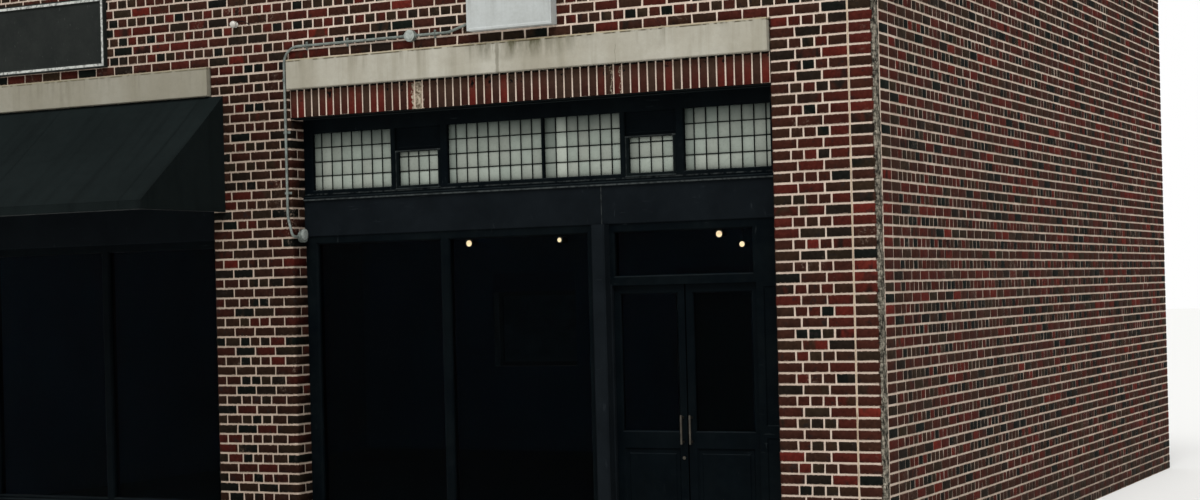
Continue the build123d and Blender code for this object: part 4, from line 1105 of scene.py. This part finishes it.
class SHOP_OT_lay_soldiers(bpy.types.Operator):
    """Set the upright bricks over both bays"""
    bl_idname = "shop.lay_soldiers"
    bl_label = "Set Soldier Courses"

    def execute(self, context):
        s = context.scene.shop_brickwork
        low, high = extent("soldier_courses")
        bay_low, bay_high = extent("right_transom_frame")
        width = bay_high[0] - bay_low[0]
        pitch = width / s.soldiers
        pile, block, cores = Pile(31), plain_block(s.arris), []
        for start in (low[0], bay_low[0]):
            for number in range(s.soldiers):
                x0 = start + number * pitch + s.soldier_joint / 2
                tone = tuple(pile.random.random(3))
                foot = low[2] + pile.random.uniform(0.0, 0.005)
                pile.add(block, "front", (x0, low[1] + 0.0008, foot),
                         (x0 + pitch - s.soldier_joint, high[1], high[2] - 0.004), tone)
            cores.append(mortar_core((start, low[1], low[2]), (start + width, high[1], high[2]),
                                     (0.0005, 0.0005, s.rake, 0.001, 0.004, 0.004)))
        bricks = pile.mesh("soldier_bricks", 0.0008, "brick_tone", (low, high))
        bricks.data.materials.append(soldier_finish(SMEARS))
        for core in cores:
            core.data.materials.append(bpy.data.materials["lime_mortar"])
        finish_piece(joined("soldier_bricks", [bricks, *cores]), replaces=("soldier_courses",))
        return {"FINISHED"}


# Glazing

# Columns of panes in each light of the right bay, with the widths of its first and last column
COLUMNS = {"transom_glass": ((8, 0.72, 1.0), (9, 0.68, 1.0), (7, 1.0, 0.86), (8, 0.77, 0.44)),
           "hopper_glass": ((4, 0.84, 0.95), (4, 0.8, 0.95))}


def transom_lights():
    """Gives each light of both bays as node, side, foot, head and the edges of its columns."""
    for node, columns in COLUMNS.items():
        points = points_of(node)
        edges = np.unique(points[:, 0].round(4))
        right = edges[edges > 0]
        for x0, x1, (count, first, last) in zip(right[::2], right[1::2], columns):
            widths = np.ones(count)
            widths[0], widths[-1] = first, last
            xs = x0 + (x1 - x0) * np.concatenate(((0,), np.cumsum(widths))) / widths.sum()
            for side in (1, -1):
                yield node, side, points[:, 2].min(), points[:, 2].max(), xs if side > 0 else -xs[::-1]


class SHOP_OT_glaze_transoms(bpy.types.Operator):
    """Fit the glazing bars and small panes of the transom lights"""
    bl_idname = "shop.glaze_transoms"
    bl_label = "Glaze Transom Lights"

    def execute(self, context):
        g = context.scene.shop_glazing
        bars, panes = Pile(41), {"transom_glass": Pile(42), "hopper_glass": Pile(43)}
        bar_block, pane_block = plain_block(0.0022), plain_block(0.0008)
        low, high = extent("transom_glass")
        middle, half, thick = (low[1] + high[1]) / 2, g.bar_width / 2, g.pane_thickness / 2
        front, back = middle - g.bar_depth / 2, middle + g.bar_depth / 2
        levels = np.linspace(low[2], high[2], 5)
        for node, side, z0, z1, xs in transom_lights():
            zs = [z0, *[z for z in levels if z0 + 0.02 < z < z1 - 0.02], z1]
            for x in xs[1:-1]:
                bars.add(bar_block, "front", (x - half, front, z0), (x + half, back, z1))
            for z in zs[1:-1]:
                bars.add(bar_block, "front", (xs[0], front + 0.001, z - half * 0.9),
                         (xs[-1], back - 0.001, z + half * 0.9))
            pile = panes[node]
            for column, (left, right) in enumerate(zip(xs, xs[1:])):
                pale = side > 0 and len(xs) == 8 and column == 1
                for base, top in zip(zs, zs[1:]):
                    bright = pile.random.uniform(0.94, 1.06) * (1.4 if pale else 1.0)
                    # Painted shade on the rows above the middle level, darkest at the top, and on the first column
                    # beside the frame, with a little random dusting
                    dust_and_painted_shade = 0.5 * max(0.0, (base + top) / 2 - levels[2]) / (levels[4] - levels[2])
                    dust_and_painted_shade += pile.random.uniform(0.0, 0.12) + (0.4 if column == 0 else 0.0)
                    tone = (bright, min(dust_and_painted_shade, 1.0) * (0.3 if pale else 1.0), pile.random.random())
                    place = middle + pile.random.uniform(-0.0006, 0.0006)
                    pile.add(pane_block, "front", (left, place - thick, base), (right, place + thick, top), tone)
        finish_piece(bars.mesh("glazing_bars", 0.0003, "bar_tone"), bpy.data.materials["bar_paint"])
        glass = pane_finish(g.pane)
        for node, pile in panes.items():
            lights = pile.mesh(node.replace("glass", "panes"), 0.0003, "pane_tone")
            finish_piece(lights, glass, (node,))
        return {"FINISHED"}


# Awning cloth


class SHOP_OT_hang_awning(bpy.types.Operator):
    """Stretch the awning cloth over its frame"""
    bl_idname = "shop.hang_awning"
    bl_label = "Hang Awning Cloth"

    def execute(self, context):
        s = context.scene.shop_awning
        low, high = extent("awning_cover")
        base, top, fold, skin = low[2], high[2], low[2] + s.valance, 0.004
        x0, width = low[0] + skin, high[0] - low[0] - 2 * skin
        wall, reach = high[1], high[1] - low[1] - skin
        slope_length = math.hypot(reach, top - fold)
        verts, faces, uvs = [], [], []

        def on_slope(u, v):
            dip = s.sag * math.sin(math.pi * min(1.0, u * 3 % 1.0)) ** 2 * math.sin(math.pi * v) ** 0.8
            z = top - skin * 1.5 - (top - fold) * v + s.head * (1 - v) ** 3
            return Vector((x0 + width * u, wall - 0.001 - reach * v + 0.62 * dip, z - 0.785 * dip))

        def hung(edge, share):
            """A point under the slope, a share of the way down to the cloth's foot."""
            return edge - Vector((0, 0, (edge.z - base - 0.002) * share))

        def on_valance(u, v):
            return hung(on_slope(u, 1.0), v) + Vector((0, 0.001 + 0.0025 * math.sin(u * 70.0) * v, 0))

        def lay(rows, columns, point, mapped, turned=False):
            """Adds a grid of faces over a surface given by two shares."""
            start, row = len(verts), columns + 1
            for j in range(rows + 1):
                for i in range(columns + 1):
                    verts.append(tuple(point(i / columns, j / rows)))
                    uvs.append(mapped(i / columns, j / rows))
            for j in range(rows):
                for i in range(columns):
                    a = start + j * row + i
                    face = (a, a + row, a + row + 1, a + 1)
                    faces.append(face[::-1] if turned else face)

        lay(26, 90, on_slope, lambda u, v: (width * u, slope_length * v))
        lay(4, 90, on_valance, lambda u, v: (width * u, slope_length + s.valance * v))
        for end in (0.0, 1.0):
            lay(14, 26, lambda v, t: hung(on_slope(end, v), t), lambda v, t: (slope_length * v, t * 0.9), end == 0.0)
        mesh = bpy.data.meshes.new("awning_canopy")
        mesh.from_pydata(verts, [], faces)
        layer = mesh.uv_layers.new(name="cloth")
        for loop in mesh.loops:
            layer.data[loop.index].uv = uvs[loop.vertex_index]
        canopy = linked("awning_canopy", mesh)
        merge(canopy, 0.0004)
        thicken(canopy, 0.0018, -1.0)
        smooth(canopy, 40)
        finish_piece(canopy, canvas_finish(s.cloth), ("awning_cover",))
        return {"FINISHED"}


# Fixings

TUBE_RADIUS = 0.011
STRAP_LEVELS = (3.05, 3.55, 3.985)
LAMP_RADII = (0.025, 0.018, 0.025, 0.021)
INSULATOR_X, INSULATOR_Z = -0.114, 4.48
STREETWARD = Vector((0, -1, 0))
STAGE_SIZE = 240


class SHOP_OT_add_fixings(bpy.types.Operator):
    """Add conduit straps, box covers, the wall insulator and lamp glass"""
    bl_idname = "shop.add_fixings"
    bl_label = "Add Fixings"

    def execute(self, context):
        wall = extent("pier_middle")[0][1]
        level = extent("conduit")[1][2] - TUBE_RADIUS
        self.straps(wall, level)
        self.box_covers(wall, level)
        self.insulator(Vector((INSULATOR_X, wall, INSULATOR_Z)))
        self.lamp_glass()
        return {"FINISHED"}

    def strap(self, wall, x, z, upright):
        """Models one strap: a bent band over the tube with two screwed feet."""
        radius, half, foot, centre = 0.0125, 0.01, 0.011, wall - 0.018
        only()
        bpy.ops.mesh.primitive_cylinder_add(vertices=20, radius=radius, depth=2 * half, end_fill_type="NOTHING",
                                            location=(x, centre, z), rotation=(0, 0 if upright else math.pi / 2, 0))
        band = settle(bpy.context.object)
        drop_faces(band, lambda c: c.y > centre + 0.004)
        thicken(band, 0.0016, 1.0)
        parts = [band]

        def spot(across, y, along):
            return Vector((x + across, y, z + along) if upright else (x + along, y, z + across))

        for side in (-1, 1):
            edge, out = side * radius, side * (radius + foot)
            plate = new_cube(spot(out - foot, wall - 0.002, -half), spot(out + foot, wall, half))
            bevel_edges(plate, 0.0006)
            leg = new_cube(spot(edge - 0.0008, centre, -half), spot(edge + 0.0008, wall, half))
            bevel_edges(leg, 0.0003)
            screw = rounded_disc(spot(out, wall - 0.0032, 0), STREETWARD, 0.0042, 0.0026, 0.0008, vertices=10)
            parts += [plate, leg, screw]
        return parts

    def straps(self, wall, level):
        """Fixes the conduit: three straps on the pier, three along the wall."""
        riser = extent("conduit")[0][0] + TUBE_RADIUS
        parts = []
        for z in STRAP_LEVELS:
            parts += self.strap(wall, riser, z, True)
        for x in (riser + 0.22, riser + 0.62, extent("conduit_boxes")[1][0] + 0.16):
            parts += self.strap(wall, x, level, False)
        straps = joined("conduit_straps", parts)
        smooth(straps)
        finish_piece(straps, bpy.data.materials["conduit_zinc"])

    def box_covers(self, wall, level):
        """Adds the covers of both round boxes, with their rims and screws."""
        radius, box_depth, up, parts = 0.0475, 0.038, Vector((0, 0, 1)), []
        on_wall = (extent("sign_conduit")[0][0] - radius - 0.012, wall - box_depth, level)
        on_side = (extent("pier_middle")[1][0] + box_depth, wall + 0.12, extent("fascia_panels")[0][2] + 0.02)
        for centre, out in ((Vector(on_wall), STREETWARD), (Vector(on_side), Vector((1, 0, 0)))):
            parts.append(rounded_disc(centre + out * 0.002, out, radius - 0.001, 0.004, 0.0018, 2, 32))
            parts.append(rounded_disc(centre + out * 0.0055, out, radius * 0.72, 0.004, 0.003, 3, 32))
            for turn in (45, 135, 225, 315):
                a = math.radians(turn)
                ring = up.cross(out) * math.cos(a) + up * math.sin(a)
                spot = centre + ring * radius * 0.84 + out * 0.0048
                parts.append(rounded_disc(spot, out, 0.0038, 0.003, 0.0007, vertices=10))
        covers = joined("box_covers", parts)
        smooth(covers)
        finish_piece(covers, bpy.data.materials["cover_zinc"])

    def insulator(self, centre):
        """Spins the porcelain knob on the wall above the middle pier and bends its wire stay."""
        profile = ((0.0, 0.0), (0.024, 0.0), (0.026, 0.006), (0.019, 0.014), (0.018, 0.024), (0.027, 0.032),
                   (0.03, 0.042), (0.024, 0.054), (0.012, 0.061), (0.0, 0.063))
        mesh = bpy.data.meshes.new("wall_insulator")
        mesh.from_pydata([(centre.x + r, centre.y - d, centre.z) for r, d in profile],
                         [(i, i + 1) for i in range(len(profile) - 1)], [])
        knob = linked("wall_insulator", mesh)
        only(knob)
        mode("EDIT")
        bpy.ops.mesh.select_all(action="SELECT")
        bpy.ops.mesh.spin(steps=24, angle=2 * math.pi, center=centre, axis=(0, 1, 0))
        mode("OBJECT")
        merge(knob, 0.0003)
        smooth(knob, 60)
        finish_piece(knob, porcelain_finish())
        path = ((0.016, -0.03, 0.006), (0.05, -0.034, 0.022), (0.09, -0.028, 0.02), (0.125, -0.014, 0.004),
                (0.138, 0.0, -0.012))
        curve = bpy.data.curves.new("insulator_stay", "CURVE")
        curve.dimensions = "3D"
        curve.bevel_depth, curve.bevel_resolution = 0.003, 2
        spline = curve.splines.new("NURBS")
        spline.points.add(len(path) - 1)
        for point, offset in zip(spline.points, path):
            point.co = (*(centre + Vector(offset)), 1)
        spline.order_u, spline.use_endpoint_u = 3, True
        only(linked("insulator_stay", curve))
        bpy.ops.object.convert(target="MESH")
        stay = bpy.context.object
        smooth(stay, 60)
        finish_piece(stay, bpy.data.materials["lamp_enamel"])

    def lamp_glass(self):
        """Fits a domed lit glass into each lamp's mouth."""
        points = points_of("spot_lamps")
        mouth = points[:, 1].min()
        rims = points[points[:, 1] < mouth + 0.001]
        rims = rims[np.argsort(rims[:, 0])]
        parts = []
        for rim, radius in zip(runs(rims, rims[:, 0], 0.05), LAMP_RADII):
            middle = (rim.min(axis=0) + rim.max(axis=0)) / 2
            centre = (middle[0], mouth + 0.0005, middle[2])
            parts.append(rounded_disc(centre, STREETWARD, radius, 0.003, 0.001, 2))
        lamps = joined("lamp_glass", parts)
        smooth(lamps)
        finish_piece(lamps, bulb_finish())


# Finishes of the CAD pieces


class SHOP_OT_paint_frame(bpy.types.Operator):
    """Give every CAD piece its material"""
    bl_idname = "shop.paint_frame"
    bl_label = "Paint Frame"

    def execute(self, context):
        sill = extent("right_transom_frame")[0][2]
        seams = np.unique(points_of("fascia_panels")[:, 0].round(4))
        seam = seams[seams > 0][1:3].mean()
        foot, head = (corner[2] for corner in extent("hopper_sashes"))
        uprights = np.unique(points_of("hopper_sashes")[:, 0].round(3))
        # Pale lines on the sill, the sash rails and stiles and the fascia seams: partly worn paint, partly painted
        # highlight
        stiles = [(0, run[0] + 0.006, 0.006, 0.1, 0.2) for run in runs(uprights, uprights, 0.06)]
        frames = paint_finish("frame_paint", (4, 8, 11), (14, 19, 20), 0.5, 0.4,
                              lines=((2, sill + 0.006, 0.007, 0.28, 0.4), (2, foot - 0.006, 0.006, 0.16, 0.0)))
        sashes = paint_finish("sash_paint", (5, 9, 11), (18, 24, 24), 0.5, 0.4,
                              lines=((2, head - 0.007, 0.007, 0.16, 0.4), (2, foot + 0.006, 0.006, 0.1, 0.1), *stiles))
        fascia = paint_finish("fascia_paint", (14, 18, 21), (19, 23, 26), 0.6, 0.3,
                              lines=((0, seam, 0.0035, 0.5, 0.3), (0, -seam, 0.0035, 0.5, 0.3)))
        paint_finish("bar_paint", (8, 12, 12), (16, 21, 20), 0.5, 0.3)
        metal_finish("cover_zinc", (176, 182, 176), (104, 110, 104), 0.5, metallic=0.25)
        for material, nodes in (
            (concrete_finish(), "floor_slab inner_lintels"), (sealant_finish(), "movement_joint_seal"),
            (felt_finish(), "roof_slab"), (coping_finish(), "copings"),
            (stone_finish(), "stone_lintels entrance_steps back_lintels"),
            (paint_finish("steel_paint", (8, 12, 13), (20, 20, 19), 0.6, 0.4), "lintel_angles"),
            (frames, "right_transom_frame left_transom_frame right_display_frame left_display_frame"),
            (frames, "entrance_jambs entrance_heads"), (sashes, "hopper_sashes"), (fascia, "fascia_panels"),
            (paint_finish("panel_paint", (4, 8, 11), (9, 14, 16), 0.55, 0.15), "vent_panels stall_risers"),
            (paint_finish("post_paint", (16, 20, 23), (22, 26, 29), 0.55), "entrance_posts"),
            (paint_finish("door_paint", (4, 8, 11), (10, 15, 17), 0.4, 0.2), "door_left door_right left_bay_doors"),
            (metal_finish("hinge_steel", (90, 90, 88), (48, 47, 45), 0.45), "door_hinges"),
            (metal_finish("handle_satin", (84, 80, 72), (44, 41, 36), 0.35, brushed=True),
             "door_left_handle door_right_handle"),
            (paint_finish("back_paint", (38, 46, 42), (52, 60, 55), 0.55, specular=0.08),
             "back_door back_window_frames"),
            (metal_finish("awning_steel", (84, 86, 86), (46, 46, 46), 0.5), "awning_bars awning_arms"),
            (metal_finish("conduit_zinc", (126, 133, 127), (66, 74, 69), 0.55, metallic=0.35),
             "conduit conduit_boxes sign_conduit"),
            (tray_finish(), "sign_tray"), (board_finish(), "sign_board"),
            (paint_finish("lamp_enamel", (16, 17, 18), (28, 28, 29), 0.35, brush=1.0), "lamp_rail spot_lamps"),
            (glass_finish(), "display_glass entrance_lights door_left_glass door_right_glass left_bay_door_glass"),
            (back_pane_finish(), "back_window_glass"),
        ):
            for node in nodes.split():
                materials = NODES[node].data.materials
                if not materials:
                    materials.append(material)
                for number in range(len(materials)):
                    materials[number] = material
        return {"FINISHED"}


# Stage


class SHOP_OT_set_stage(bpy.types.Operator):
    """Lay the floor, place the camera and set the light"""
    bl_idname = "shop.set_stage"
    bl_label = "Set Stage"

    def execute(self, context):
        s = context.scene.shop_stage
        self.floor(s)
        self.camera(context, s)
        self.light(context, s)
        return {"FINISHED"}

    def floor(self, s):
        only()
        bpy.ops.mesh.primitive_plane_add(size=STAGE_SIZE, location=(0, 0, 0))
        floor = bpy.context.object
        floor.name = "stage_floor"
        floor.data.materials.append(Finish("stage_floor", tuple(s.floor), Roughness=0.95,
                                           Specular_IOR_Level=0.0).done())

    def camera(self, context, s):
        turn = s.camera_turn
        forward = Vector((-math.sin(turn), math.cos(turn), 0))
        level = Vector((math.cos(turn), math.sin(turn), 0))
        up = (Vector((0, 0, 1)) + level * s.camera_lean).normalized()
        side = forward.cross(up).normalized()
        data = bpy.data.cameras.new("camera")
        data.sensor_width, data.lens, data.shift_y, data.clip_end = 36, s.lens, s.lift, 500
        matrix = Matrix((side, up, -forward)).transposed().to_4x4()
        matrix.translation = Vector(s.camera_place)
        camera = linked("camera", data)
        camera.matrix_world = matrix
        context.scene.camera = camera

    def light(self, context, s):
        context.scene.view_settings.view_transform = "Standard"
        world = bpy.data.worlds.new("studio")
        world.use_nodes = True
        w = Wiring(world.node_tree)
        background = world.node_tree.nodes["Background"]
        background.inputs["Color"].default_value = (1, 1, 1, 1)
        rays = w.node("ShaderNodeLightPath").outputs
        mirrored = w.math("MAXIMUM", rays["Is Glossy Ray"], rays["Is Transmission Ray"])
        seen = w.math("MAXIMUM", rays["Is Camera Ray"], mirrored)
        w.feed(background.inputs["Strength"], w.span(seen, 0.0, 1.0, s.sky, 1.0))
        context.scene.world = world
        lamp = bpy.data.lights.new("soft_sun", "SUN")
        lamp.energy, lamp.angle = s.sun, s.softness
        sun = linked("soft_sun", lamp)
        sun.rotation_euler = Vector(s.direction).to_track_quat("-Z", "Y").to_euler()


class SHOP_PT_panel(bpy.types.Panel):
    """Lists the steps that dress the shop building"""
    bl_label = "Shop Building"
    bl_idname = "SHOP_PT_panel"
    bl_space_type = "VIEW_3D"
    bl_region_type = "UI"
    bl_category = "Shop"

    def draw(self, context):
        layout = self.layout
        for settings in ("shop_brickwork", "shop_glazing", "shop_awning", "shop_stage"):
            box = layout.box()
            group_settings = getattr(context.scene, settings)
            for name in group_settings.__annotations__:
                box.prop(group_settings, name)
        for operator in OPERATORS:
            layout.operator(operator.bl_idname)


SETTINGS = (("shop_brickwork", BrickworkSettings), ("shop_glazing", GlazingSettings),
            ("shop_awning", AwningSettings), ("shop_stage", StageSettings))
OPERATORS = (SHOP_OT_paint_frame, SHOP_OT_lay_front, SHOP_OT_lay_sides, SHOP_OT_lay_soldiers,
             SHOP_OT_glaze_transoms, SHOP_OT_hang_awning, SHOP_OT_add_fixings, SHOP_OT_set_stage)


def register():
    for name, kind in SETTINGS:
        bpy.utils.register_class(kind)
        setattr(bpy.types.Scene, name, PointerProperty(type=kind))
    for operator in OPERATORS:
        bpy.utils.register_class(operator)
    bpy.utils.register_class(SHOP_PT_panel)


def unregister():
    bpy.utils.unregister_class(SHOP_PT_panel)
    for operator in reversed(OPERATORS):
        bpy.utils.unregister_class(operator)
    for name, kind in reversed(SETTINGS):
        delattr(bpy.types.Scene, name)
        bpy.utils.unregister_class(kind)


def main():
    """Registers the add-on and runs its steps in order."""
    register()
    bpy.ops.shop.paint_frame()
    bpy.ops.shop.lay_front()
    bpy.ops.shop.lay_sides()
    bpy.ops.shop.lay_soldiers()
    bpy.ops.shop.glaze_transoms()
    bpy.ops.shop.hang_awning()
    bpy.ops.shop.add_fixings()
    bpy.ops.shop.set_stage()


if __name__ == "__main__":
    main()
